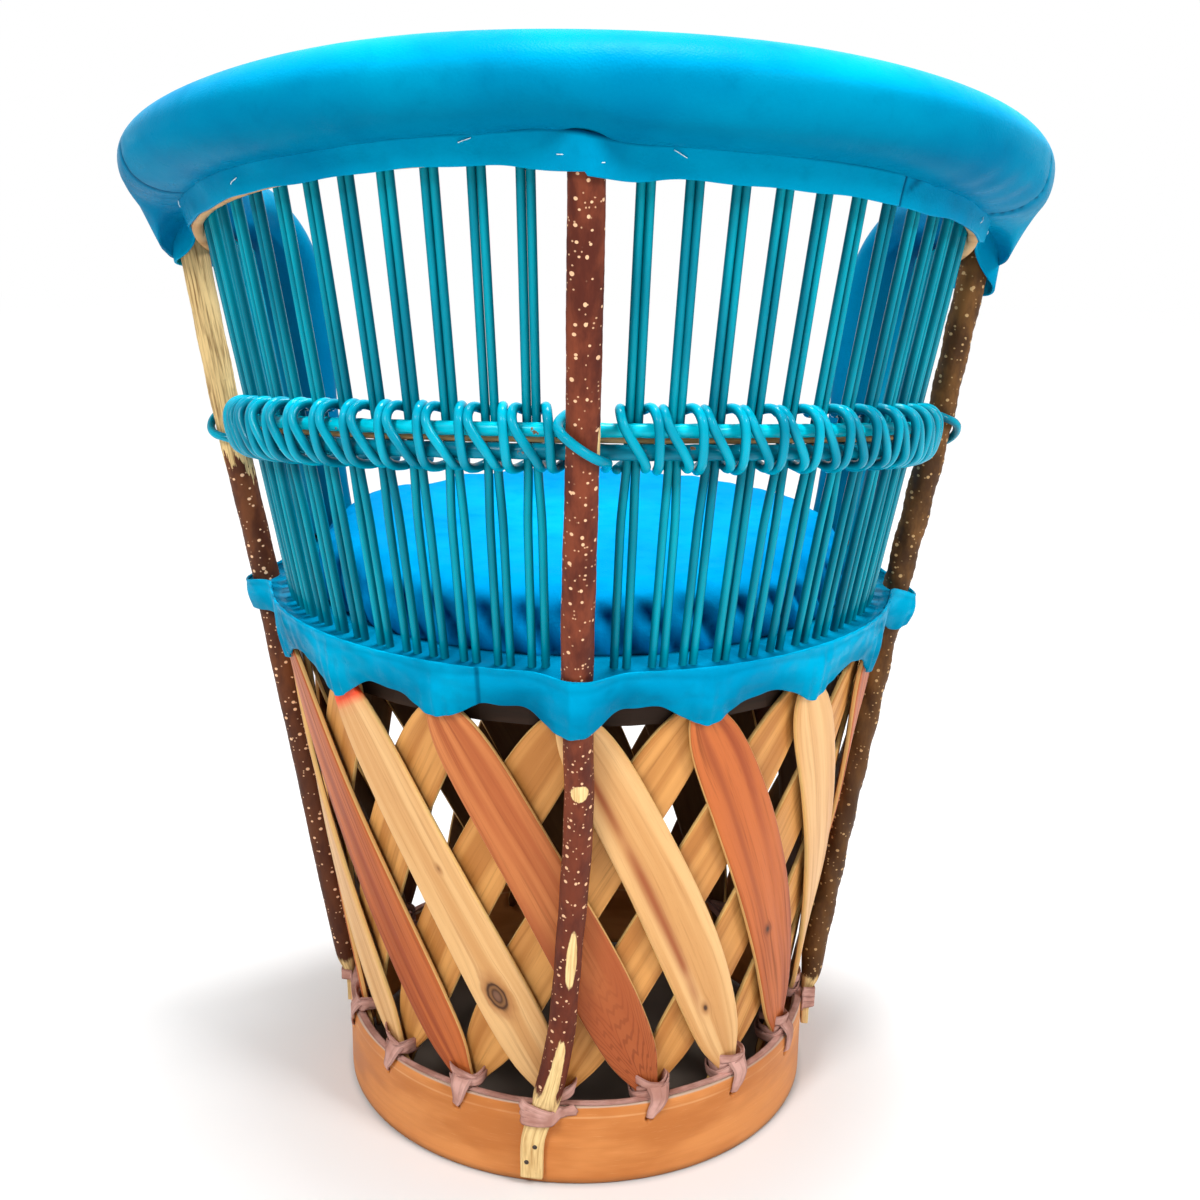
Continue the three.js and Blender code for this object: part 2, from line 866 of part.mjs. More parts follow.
function lashing(name, angles, tiedPost) {
  const path = angles.flatMap((angle) =>
    loopShares.map(({ across, up, out }) =>
      besideRods(
        angle,
        across * cordPitch,
        up,
        out * (out < 0 ? behindLevel : frontLevel),
      ),
    ),
  );
  if (tiedPost !== undefined) {
    tieShares.forEach(({ across, up, out }) =>
      path.push(besideRods(tiedPost, across * tieReach, up, out * frontLevel)),
    );
  }
  const gap = leastGap(path, 2 * lashingRadius, 5 * lashingRadius);
  console.log(`${name}: least gap to itself ${gap.toFixed(2)} mm`);
  piece(name, tube(path, lashingRadius, 4), cordPlastic);
}
lashing("left_side_lashing", mirrored(sidePairs), -sideAngle);
lashing("rear_left_lashing", mirrored(sector), 0);
lashing("rear_right_lashing", sector, sideAngle);
lashing("right_side_lashing", sidePairs);

// Lacing strip round the base ring

// The strip lies on the ring's top edge between the lashing points. At each pair of slat feet it
// crosses their outer faces slantwise, goes once round behind them and crosses their outer faces
// the other way. It starts and ends at the front.
function lacingPath() {
  const half = stripThickness / 2;
  const ringMiddle = ringOuterRadius - ringThickness / 2;
  const onRing = ringHeight + clearance + half;
  const layers = 2 * slatThickness + slatLayerGap;
  const low = onRing + stripWidth;
  const high = low + stripWidth;
  const over = stripThickness + clearance + slatFlare * stripWidth;
  const nearEdge = 1.75 * slatTipWidth;
  const wideEdge = 2 * slatTipWidth;
  const up = new THREE.Vector3(0, 0, 1);
  const bow = (wideEdge * wideEdge) / 2 / ringOuterRadius;
  const face = (z) => slatFace(z) + half + clearance + bow;
  const back = (z) => slatFace(z) - layers - half - 7 * clearance;
  const between = (z) => (face(z) + back(z)) / 2;
  const overFoot = ringOuterRadius + tongueThickness + half + 5 * clearance;
  const footEdge = tongueWidth / 2 + stripThickness;
  return Array.from({ length: lashingPoints }, (_, i) => {
    const angle = footAngle((i + lashingPoints / 2) % lashingPoints);
    const out = outward(angle);
    const right = sideways(angle);
    const tied = postFeet.some((foot) => apart(angle, foot) < pointAngle / 8);
    const stop = (across, radius, z, normal) => ({
      at: polar(angle + across / radius / degrees, radius, z),
      normal,
    });
    // Between the ring's top and the slats' faces the strip makes a quarter turn in short steps
    const halfGap = (pointAngle / 2) * degrees * ringMiddle;
    const turning = (sign, radius, share) => {
      const turn = (share * Math.PI) / 2;
      return stop(
        sign * mix(halfGap, nearEdge, share),
        mix(ringMiddle, radius, share * share),
        mix(onRing, low, share),
        polar(angle, Math.sin(turn), Math.cos(turn)),
      );
    };
    return [
      ...[0.25, 0.5, 0.75].map((share) => turning(-1, face(low), share)),
      stop(-nearEdge, face(low), low, out),
      stop(nearEdge, face(high), high, out),
      stop(1.15 * wideEdge, between(high), high, right),
      stop(nearEdge, back(high), high, out.clone().negate()),
      stop(-nearEdge, back(high), high, out.clone().negate()),
      stop(-1.15 * wideEdge, between(high), high, right.clone().negate()),
      stop(-nearEdge, face(high) + over, high, out),
      ...(tied
        ? [
            stop(-footEdge, overFoot, ringHeight - stripWidth, out),
            stop(footEdge, overFoot, ringHeight - stripWidth, out),
          ]
        : []),
      stop(nearEdge, face(low) + over, low, out),
      turning(1, face(low) + over, 0.5),
      { at: polar(angle + pointAngle / 2, ringMiddle, onRing), normal: up },
    ];
  }).flat();
}
piece("base_lacing", strap(lacingPath(), stripWidth, stripThickness), rawhide);

// The origin goes on the floor under the middle of the chair's overall width and depth
const middle = new THREE.Box3()
  .setFromObject(chair)
  .getCenter(new THREE.Vector3());
chair.position.set(-middle.x, -middle.y, 0);

export default chair;
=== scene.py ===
# %% [markdown]
# # A barrel chair of crossed slats, cords and leather
#
# The chair has a drum of crossed wooden slats lashed to a bent ring, a padded seat, a back of
# paired plastic cords held by two painted rods, and a padded leather rim on five bark-covered
# posts. The solids that another program worked out say where each piece is. This script puts a
# finer surface in the place of each one and gives it its finish.
#
# All the shapes are worked out in millimetres round the drum's upright middle line, and turned
# into metres in one place, so that every formula reads like a workshop drawing.

import bpy
import numpy as np
from mathutils import Matrix, Vector


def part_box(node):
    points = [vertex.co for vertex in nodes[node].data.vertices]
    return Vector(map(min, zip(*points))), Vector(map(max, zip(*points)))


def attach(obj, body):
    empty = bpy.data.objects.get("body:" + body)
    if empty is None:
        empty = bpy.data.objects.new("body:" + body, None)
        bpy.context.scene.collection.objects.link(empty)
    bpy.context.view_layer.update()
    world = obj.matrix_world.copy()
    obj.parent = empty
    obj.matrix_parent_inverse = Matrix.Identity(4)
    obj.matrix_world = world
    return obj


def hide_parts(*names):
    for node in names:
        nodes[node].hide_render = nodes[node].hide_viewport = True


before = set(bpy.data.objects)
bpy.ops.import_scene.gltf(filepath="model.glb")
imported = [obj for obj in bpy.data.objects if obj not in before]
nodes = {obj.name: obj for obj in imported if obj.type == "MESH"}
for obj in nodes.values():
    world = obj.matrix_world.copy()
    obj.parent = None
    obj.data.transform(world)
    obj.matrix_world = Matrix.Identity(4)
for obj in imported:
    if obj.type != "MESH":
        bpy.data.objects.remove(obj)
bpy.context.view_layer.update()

# %% [markdown]
# ## The camera
#
# A long lens flattens a chair and a short one swells its near side, so the focal length matters
# as much as the place. Here it is 1600 pixels for a picture 1200 pixels wide, which is 48 mm on a
# 36 mm sensor. The camera stands behind the chair a little lower than the rim, tips down by 0.291
# radians and leans by 0.012, and the picture is shifted a little to the side.

# %% Camera
picture_width, focal_pixels, shift_pixels = 1200, 1600, 19
camera_place = (0, -1.1864, 0.779)
tip_down, lean = 0.291, 0.012
lens = bpy.data.cameras.new("picture_lens")
lens.sensor_width = 36
lens.lens = lens.sensor_width * focal_pixels / picture_width
lens.shift_x = shift_pixels / picture_width
camera = bpy.data.objects.new("picture_camera", lens)
bpy.context.scene.collection.objects.link(camera)
camera.matrix_world = (
    Matrix.Translation(camera_place)
    @ Matrix.Rotation(np.pi / 2 - tip_down, 4, "X")
    @ Matrix.Rotation(lean, 4, "Z")
)
bpy.context.scene.camera = camera
bpy.context.scene.view_settings.view_transform = "Standard"
print("lens:", lens.lens, "mm")

# %% [markdown]
# ## Writing materials as sums
#
# A material is a small calculation for each point of a surface. Drawing it as boxes and wires is
# slow to read, so a wire is wrapped in a class that knows plus, minus and times: an expression on
# wires adds the Math nodes by itself. Every other node comes from one method, for a material and
# for the world alike.


# %% A wire and a finish
class Wire:
    """One node output. Arithmetic on it adds Math nodes to the same tree."""

    def __init__(self, sums, socket):
        self.sums, self.socket = sums, socket

    def __add__(self, other):
        return self.sums.math("ADD", self, other)

    def __sub__(self, other):
        return self.sums.math("SUBTRACT", self, other)

    def __rsub__(self, other):
        return self.sums.math("SUBTRACT", other, self)

    def __mul__(self, other):
        return self.sums.math("MULTIPLY", self, other)

    def __truediv__(self, other):
        return self.sums.math("DIVIDE", self, other)

    def __pow__(self, other):
        return self.sums.math("POWER", self, other)

    __radd__, __rmul__ = __add__, __mul__


class Sums:
    """A node tree that is written as sums."""

    def __init__(self, tree):
        self.tree = tree

    def plug(self, value, socket):
        if isinstance(value, Wire):
            self.tree.links.new(value.socket, socket)
        else:
            socket.default_value = value

    def node(self, kind, settings=None, sockets=None, output=0):
        made = self.tree.nodes.new("ShaderNode" + kind)
        for key, value in (settings or {}).items():
            setattr(made, key, value)
        for key, value in (sockets or {}).items():
            self.plug(value, made.inputs[key])
        return Wire(self, made.outputs[output])

    def math(self, operation, first, second=0.0):
        return self.node("Math", {"operation": operation}, {0: first, 1: second})

    def rays(self, *kinds):
        """One wire for each kind of ray, 1 for a ray of that kind and 0 for any other."""
        outputs = self.node("LightPath").socket.node.outputs
        return [Wire(self, outputs[f"Is {kind} Ray"]) for kind in kinds]


def paint(red, green, blue):
    """A colour as a paint chart gives it, 0 to 255, turned into the linear values that light
    uses: each share is raised to about 2.4 after a small offset."""
    share = np.array([red, green, blue]) / 255
    linear = np.where(share <= 0.04045, share / 12.92, ((share + 0.055) / 1.055) ** 2.4)
    return (*linear.tolist(), 1.0)


class Finish(Sums):
    """A material under construction, with the few kinds of pattern that this chair needs."""

    def __init__(self, name, **constants):
        self.material = bpy.data.materials.new(name)
        self.material.use_nodes = True
        super().__init__(self.material.node_tree)
        self.shader = self.tree.nodes["Principled BSDF"]
        for socket, value in constants.items():
            self.socket(socket).default_value = value

    def socket(self, words):
        return self.shader.inputs[words.replace("_", " ").title().replace("Ior", "IOR")]

    def set(self, **sockets):
        for socket, value in sockets.items():
            self.plug(value, self.socket(socket))
        return self

    def place(self):
        """Where a point is on the whole chair, in metres."""
        return self.node("TexCoord", output="Object")

    def along(self):
        """The piece's own map: metres round its section, then metres along it."""
        return self.node("UVMap", {"uv_map": "along"})

    def mark(self, name):
        """A number that the mesh carries at each point."""
        return self.node("Attribute", {"attribute_name": name}, output="Fac")

    def scaled(self, vector, x, y, z=1.0):
        return self.node("VectorMath", {"operation": "MULTIPLY"}, {0: vector, 1: (x, y, z)})

    def shifted(self, vector, offset):
        return self.node("VectorMath", {"operation": "ADD"}, {0: vector, 1: offset})

    def split(self, vector):
        parts = self.node("SeparateXYZ", None, {0: vector}).socket.node.outputs
        return [Wire(self, part) for part in parts]

    def joined(self, x, y, z):
        return self.node("CombineXYZ", None, {0: x, 1: y, 2: z})

    def noise(self, vector, detail=2.0, rough=0.5, seed=0.0, scale=1.0):
        return self.node(
            "TexNoise",
            {"noise_dimensions": "4D"},
            {"Vector": vector, "W": seed, "Scale": scale, "Detail": detail, "Roughness": rough},
        )

    def cells(self, vector, scale, output="Distance", flat=False):
        settings = {"voronoi_dimensions": "2D" if flat else "3D"}
        return self.node("TexVoronoi", settings, {"Vector": vector, "Scale": scale}, output)

    def rise(self, value, low, high):
        """0 below low, 1 above high, and a smooth step between them."""
        return self.node(
            "MapRange",
            {"interpolation_type": "SMOOTHSTEP"},
            {"Value": value, "From Min": low, "From Max": high},
        )

    def blend(self, share, first, second):
        """The first colour where the share is 0, the second where it is 1."""
        return self.node("Mix", {"data_type": "RGBA"}, {0: share, 6: first, 7: second}, output=2)

    def bump(self, height, depth):
        """Turns a height from 0 to 1 into a tilt of the surface, depth metres high."""
        return self.set(normal=self.node("Bump", None, {"Height": height, "Distance": depth}))


print("a finish is ready to be written as sums")

# %% [markdown]
# ## A studio with a pale floor
#
# The world lights the chair softly from all sides. A large lamp above and behind the camera gives
# the highlights, and weaker ones fill the shade. A colour looks about as bright as it is written.
# To a camera ray the world is plain white. The floor is nearly so, but it keeps its shadow, and
# the little of it that shows inside the drum is painted dark brown as painted shade.

# %% World and lamps
sky_strength, seen_strength = 0.36, 1.0
white = (1, 1, 1, 1)
world = bpy.data.worlds.new("studio")
bpy.context.scene.world = world
world.use_nodes = True
sky = Sums(world.node_tree)
sky.tree.nodes.clear()
to_camera, through, mirrored = sky.rays("Camera", "Transmission", "Glossy")
seen = sky.math("MAXIMUM", sky.math("MAXIMUM", to_camera, through), mirrored)
dim, bright = (
    sky.node("Background", None, {"Color": white, "Strength": strength})
    for strength in (sky_strength, seen_strength)
)
either = sky.node("MixShader", None, {0: seen, 1: dim, 2: bright})
sky.plug(either, sky.tree.nodes.new("ShaderNodeOutputWorld").inputs["Surface"])


def lamp(name, place, target, size, power):
    """A square area lamp at place that faces target."""
    data = bpy.data.lights.new(name, "AREA")
    data.size, data.energy = size, power
    made = bpy.data.objects.new(name, data)
    made.location = place
    aim = Vector(target) - Vector(place)
    made.rotation_euler = aim.to_track_quat("-Z", "Y").to_euler()
    bpy.context.scene.collection.objects.link(made)


lamp("key_lamp", (-1.1, -2.0, 2.3), (0, 0, 0.4), 0.7, 51)
lamp("side_lamp", (1.7, -1.5, 2.0), (0, 0, 0.4), 0.6, 37)
lamp("top_lamp", (0.2, 0.1, 2.5), (0, 0, 0.6), 0.7, 78)
print("studio: 3 lamps, world strength", sky_strength)

# %% Floor
floor_reach, floor_cells, floor_height, glow_strength = 6, 8, -0.0005, 1.2
drum_y, drum_reach = 0.05, 0.18
ground = Finish("pale_floor", roughness=0.9)
grain = ground.noise(ground.place(), 3.0, scale=3.0)
x, y, _ = ground.split(ground.place())
away = (x * x + (y - drum_y) * (y - drum_y)) ** 0.5
pale = ground.blend(grain, paint(238, 238, 238), paint(244, 244, 244))
# painted shade: the floor inside the drum is dark brown, standing for the shade under the seat
drum_floor_shade = ground.blend(grain, paint(96, 84, 74), paint(120, 106, 94))
outside = ground.rise(away, drum_reach, drum_reach + 0.02)
ground.set(base_color=ground.blend(outside, drum_floor_shade, pale))
share = ground.rays("Camera")[0] * ground.rise(away, 0.17, 0.55) * 0.75
glow = ground.node("Emission", None, {"Color": white, "Strength": glow_strength})
plain = Wire(ground, ground.shader.outputs[0])
mixed = ground.node("MixShader", None, {0: share, 1: plain, 2: glow})
ground.plug(mixed, ground.tree.nodes["Material Output"].inputs["Surface"])
reach = np.linspace(-floor_reach, floor_reach, floor_cells + 1)
sheet_x, sheet_y = np.meshgrid(reach, reach)
corner = (np.arange(floor_cells)[:, None] * (floor_cells + 1) + np.arange(floor_cells)).reshape(-1, 1)
floor_mesh = bpy.data.meshes.new("floor")
floor_mesh.from_pydata(
    np.stack([sheet_x, sheet_y, 0 * sheet_x + floor_height], -1).reshape(-1, 3),
    [],
    (corner + [0, 1, floor_cells + 2, floor_cells + 1]).tolist(),
)
floor_mesh.materials.append(ground.material)
floor = bpy.data.objects.new("floor", floor_mesh)
bpy.context.scene.collection.objects.link(floor)
print("floor:", len(floor_mesh.polygons), "cells")

# %% [markdown]
# ## From a grid of points to a piece
#
# Nearly every piece here is a closed section carried along a path: a board, a stick, a cord, a
# band of leather. The points come as a grid, one row for each place on the path and one column
# for each place round the section. One function joins such grids into a mesh, closes the seams
# and the ends, turns the faces outwards, and stores a map of distances for the finishes.

# %% Grids to meshes
mm = 0.001
ring_low, ring_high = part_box("base_ring")
middle_y = (ring_low.y + ring_high.y) / 2 / mm


def so_far(steps):
    """The length of the way before each step and after the last."""
    return np.concatenate([[0], np.cumsum(steps)])


def shell(grid, loop=False):
    """Faces of one grid: rows x columns points, the columns closed into a ring, and the rows
    closed too if loop is true, or else capped. Gives vertices, quads, caps, and the map, which is
    the mean distance round the section and along the path, in metres."""
    rows, cols = grid.shape[:2]
    i, k = np.meshgrid(np.arange(rows - (not loop)), np.arange(cols), indexing="ij")
    j, m = (i + 1) % rows, (k + 1) % cols
    quads = np.stack([i * cols + k, i * cols + m, j * cols + m, j * cols + k], -1).reshape(-1, 4)
    caps = [] if loop else [np.arange(cols)[::-1], (rows - 1) * cols + np.arange(cols)]
    fans = [np.stack([np.full(cols - 2, c[0]), c[1:-1], c[2:]], -1) for c in caps]
    triangles = np.concatenate([quads[:, :3], quads[:, [0, 2, 3]], *fans])
    points = grid.reshape(-1, 3)
    a, b, c = (points[triangles[:, n]] - points.mean(0) for n in range(3))
    inside_out = (a * np.cross(b, c)).sum() < 0
    round_it = np.linalg.norm(np.roll(grid, -1, 1) - grid, axis=-1).mean(0)
    on = np.linalg.norm(np.roll(grid, -1, 0) - grid, axis=-1).mean(1)
    u, v = so_far(round_it) * mm, so_far(on) * mm
    corners = [(u[k], v[i]), (u[k + 1], v[i]), (u[k + 1], v[i + 1]), (u[k], v[i + 1])]
    maps = np.stack([np.stack(c, -1) for c in corners], -2).reshape(-1, 4, 2)
    if inside_out:
        quads, maps = quads[:, ::-1], maps[:, ::-1]
        caps = [c[::-1] for c in caps]
    cap_maps = [np.stack([u[:-1], np.full(cols, v[row])], -1) for row in (0, rows - 1)[: len(caps)]]
    return points, quads, caps, maps, cap_maps


def add_mark(mesh, mark, values):
    store = mesh.attributes.new(mark, "FLOAT", "POINT")
    store.data.foreach_set("value", values.astype(np.float32))


def piece(name, grids, finish, replaces=(), loop=False, marks=None):
    """Makes one object of one or more closed grids. marks are numbers for the grid points, by name:
    the same for all grids, or a list with one entry for each. The piece rides on the chair's one
    body and stands for the solids that it replaces."""
    points, faces, maps, start = [], [], [], 0
    for grid in grids:
        p, quads, caps, quad_maps, cap_maps = shell(grid, loop)
        faces += (quads + start).tolist() + [(c + start).tolist() for c in caps]
        maps += [quad_maps.reshape(-1, 2), *cap_maps]
        points.append(p)
        start += len(p)
    mesh = bpy.data.meshes.new(name)
    mesh.from_pydata((np.concatenate(points) + (0, middle_y, 0)) * mm, [], faces)
    layer = mesh.uv_layers.new(name="along")
    layer.data.foreach_set("uv", np.concatenate(maps).ravel().astype(np.float32))
    for mark, values in (marks or {}).items():
        each = values if isinstance(values, list) else [values] * len(grids)
        spread = [np.broadcast_to(v, g.shape[:2]).ravel() for v, g in zip(each, grids)]
        add_mark(mesh, mark, np.concatenate(spread))
    mesh.polygons.foreach_set("use_smooth", np.full(len(faces), True))
    mesh.materials.append(finish.material)
    mesh.update()
    made = bpy.data.objects.new(name, mesh)
    bpy.context.scene.collection.objects.link(made)
    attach(made, "root")
    if replaces:
        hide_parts(*replaces)
    print(f"{name}: {start} points, {len(faces)} faces")
    return made


def polar(angle, radius, height):
    """A point from its angle round the chair in degrees, counted from the back towards +X, its
    distance from the middle line and its height: x is radius times sine, y is minus radius times
    cosine."""
    a, r, z = np.broadcast_arrays(np.radians(angle), radius, height)
    return np.stack([r * np.sin(a), -r * np.cos(a), z], -1)


def mix(a, b, share):
    return a + (b - a) * share


def ease(value):
    """A smooth step: 0 up to 0, 1 from 1 on, and 3t2 - 2t3 between them."""
    t = np.clip(value, 0, 1)
    return t * t * (3 - 2 * t)


def bell(away, spread, power=2):
    """1 at 0, and down on both sides: the exponential of minus the share of the spread, raised to
    the power."""
    return np.exp(-((away / spread) ** power))


def squarish(wave, power):
    """A wave raised to a power with its sign kept. Below 1 it squares an oval's corners."""
    return np.sign(wave) * np.abs(wave) ** power


def circle(count):
    """Evenly spaced turns round a section, in radians."""
    return np.linspace(0, 2 * np.pi, count, endpoint=False)


def unit(vectors):
    return vectors / np.linalg.norm(vectors, axis=-1, keepdims=True)


def square_to(side, on):
    """The part of side that is square to the unit direction on, one long."""
    return unit(side - on * (side * on).sum(-1, keepdims=True))


def flowing(stations, steps):
    """A smooth curve through stations, with any number of columns. Between two stations it is the
    cubic that leaves each of them along the line that joins its neighbours."""
    p = np.asarray(stations, float)
    p = np.vstack([2 * p[0] - p[1], p, 2 * p[-1] - p[-2]])
    t = np.linspace(0, 1, steps, endpoint=False)[None, :, None]
    a, b, c, d = (p[n : len(p) - 3 + n, None] for n in range(4))
    q = 0.5 * (2 * b + (c - a) * t + (2 * a - 5 * b + 4 * c - d) * t**2
               + (3 * b - a - 3 * c + d) * t**3)
    return np.vstack([q.reshape(-1, p.shape[1]), p[-2]])


def carried(path, side, half_width, half_depth, sides):
    """An oval section carried along a path. side points across the path; the section's points are
    side times half_depth times the cosine, plus the third direction times half_width times the
    sine."""
    on = unit(np.gradient(path, axis=0))
    side = square_to(side, on)
    other = np.cross(on, side)
    c, s = np.cos(circle(sides))[:, None], np.sin(circle(sides))[:, None]
    depth, width = (np.broadcast_to(h, len(path))[:, None, None] for h in (half_depth, half_width))
    return path[:, None] + side[:, None] * c * depth + other[:, None] * s * width


print("the drum's middle line is at y =", round(middle_y, 2), "mm")

# %% [markdown]
# ## The chair's shared sizes
#
# These are the sizes that the solids were made from. The slats lie on a cone that widens from the
# ring to the seat, the cords on a steeper one, and the hoops' heights follow a cosine, high at the
# back and low at the arms.

# %% Shared sizes and cones
gap = 0.3
ring_outer, seat_top, seat_base = 194, 417, 425.6
cone_foot, cone_head, foot_radius, head_radius = 68, 392, 185.7, 237
web_radius, web_flare, web_level, rods_out, hoop_out = 225.1, 0.18, 410, 8.6, 11.1
rods_height, rods_rise, rod_thick = 548, 42, 5.5
cord_radius, cord_pitch, lashing_radius = 2.8, 6.2, 2.6
post_radius, leg_angle = 11, 117
side_height, back_rise, hoop_height, hoop_thick = 680, 76, 12, 8
roll_depth, roll_rise = 40, 27
point_angle, foot_turn, head_turn = 22.5, -4.4, -1.3


def foot_angle(point):
    """Where the slats' feet cross at a lashing point, in degrees."""
    return point * point_angle + foot_turn


def head_angle(point):
    """Where their heads cross."""
    return point * point_angle + head_turn


def up_cone(z):
    """Share of the way up the slats' cone, 0 at the ring's top and 1 under the seat."""
    return (z - cone_foot) / (cone_head - cone_foot)


def slat_face(z):
    """Radius of the outer slats' outer corners."""
    return mix(foot_radius, head_radius, up_cone(z))


def cord_ring(z):
    """Radius of the cords' cone: it grows by its flare times the height above its level."""
    return web_radius + web_flare * (z - web_level)


def middle_height(angle):
    """Height between the two rods."""
    return rods_height + rods_rise * np.cos(np.radians(angle))


def top_height(angle):
    """Height of the top hoop's lower edge."""
    return side_height + back_rise * np.cos(np.radians(angle))


def hoop_face(z):
    """Radius of the top hoop's outer face."""
    return cord_ring(z) + hoop_out


def rod_ring(z):
    """Radius of the rods' middle line."""
    return cord_ring(z) + rods_out


post_angles = (0, -90, 90, -leg_angle, leg_angle)


def over_post(angle, plain, post_centre, spread):
    """Radius of leather that lies at the plain radius and rises over each post: a bell that falls
    as the exponential of minus the distance from the post's middle over the spread, to the power
    2.4, which hugs a round stick."""
    reach = plain + 0 * angle
    for at in post_angles:
        away = np.radians(np.abs((angle - at + 180) % 360 - 180)) * post_centre
        over = mix(plain, post_centre + post_radius + 0.5, bell(away, spread, 2.4))
        reach = np.maximum(reach, over)
    return reach


print("slats widen from", slat_face(cone_foot), "to", slat_face(cone_head), "mm")

# %% [markdown]
# ## The ring's finish
#
# The ring is a strip of oiled wood, orange tan with darker smears along it and a weathered grey
# top edge. The grain runs round the ring, so the pattern is stretched along the piece's own map.


# %% Ring wood
def ring_wood():
    f = Finish("ring_wood", roughness=0.45, coat_weight=0.03, coat_roughness=0.35, specular_ior_level=0.18)
    spot, on = f.place(), f.along()
    z = f.split(spot)[2]
    streak = f.noise(f.scaled(on, 260, 9), 4.0, 0.6, 1.0)
    smear = f.noise(f.scaled(spot, 9, 9, 30), 3.0, 0.55, 4.0)
    fine = f.noise(f.scaled(on, 900, 60), 3.0, 0.6, 2.0)
    wood = f.blend(f.rise(smear, 0.35, 0.65), paint(190, 114, 54), paint(218, 142, 78))
    wood = f.blend(f.rise(streak, 0.45, 0.8) * 0.28, wood, paint(184, 104, 48))
    wood = f.blend(f.rise(fine, 0.55, 0.8) * 0.25, wood, paint(240, 190, 130))
    line = f.rise(z, 0.0575, 0.0585) * (1 - f.rise(z, 0.0590, 0.0600))
    wood = f.blend(line * f.rise(smear, 0.3, 0.6) * 0.35, wood, paint(246, 206, 150))
    low = 1 - f.rise(z, 0.001, 0.007)
    wood = f.blend(low * 0.55, wood, paint(120, 72, 36))
    top = f.rise(z, 0.0662, 0.0674)
    wood = f.blend(top, wood, f.blend(streak, paint(168, 138, 118), paint(206, 180, 160)))
    f.set(base_color=wood, roughness=f.rise(smear, 0.2, 0.8) * 0.22 + 0.36)
    return f.bump(streak * 0.6 + fine * 0.4, 0.00025)


ring_finish = ring_wood()
print("ring wood has", len(ring_finish.tree.nodes), "nodes")

# %% [markdown]
# ## The bent ring
#
# The ring is a wooden strip steamed and bent into a hoop. It is turned here from its section, a
# rectangle with rounded corners. Below each lashing a hole is bored for the strip of rawhide, and
# the grid is finer there, so that the hole can be pressed into it.

# %% Ring with its bored holes
hole_height, hole_radius, hole_depth, hole_aside = 53, 2.6, 5.5, 4
near_hole = np.concatenate([np.linspace(-5, 5, 15), np.linspace(9, 68, 12)]) - hole_aside
ring_angles = np.sort((foot_angle(np.arange(16))[:, None] + np.degrees(near_hole / ring_outer)).ravel())
outer_z = np.concatenate([[0.4, 1.6, 4], np.linspace(10, 44, 6), np.linspace(47.5, 58.5, 15),
                          [61, 64, 66, 67.4]])
outer_r = ring_outer - np.array([0.9, 0.2] + [0] * (len(outer_z) - 4) + [0.2, 0.9])
top_inside_and_foot = np.array(
    [(192.6, 67.9), (190, 68), (187.4, 67.9), (186.4, 67.3), (186, 66), (186, 35), (186, 2),
     (186.4, 0.6), (187.6, 0.05), (190, 0), (192.4, 0.05)]
)
ring_r, ring_z = np.vstack([np.stack([outer_r, outer_z], -1), top_inside_and_foot]).T
nearest = np.round((ring_angles - foot_turn + np.degrees(hole_aside / ring_outer)) / point_angle)
across = np.radians(ring_angles - foot_angle(nearest)) * ring_outer + hole_aside
hole = np.hypot(across[:, None], ring_z[None] - hole_height)
pressed = hole_depth * ease((hole_radius + 0.9 - hole) / 1.3) * (ring_r[None] > ring_outer - 1)
wander = 0.25 * np.sin(np.radians(ring_angles * 3 + 40))[:, None]
ring_grid = polar(ring_angles[:, None], ring_r[None] - pressed + wander - 0.25, ring_z[None])
piece("ring", [ring_grid], ring_finish, ["base_ring"], loop=True)

# %% [markdown]
# ## Slat wood
#
# The slats are split from one reddish wood with a pale sapwood, oiled, not varnished. A slat is
# either mostly pale or mostly red, with grain along it, a few darker streaks, knots with rings
# round them, and pale edges where the blade cut through. The grain is noise stretched along the
# slat; a knot is an oval in the slat's own map, and it bends the grain beside it.


# %% Slat wood
half_board = 23.5


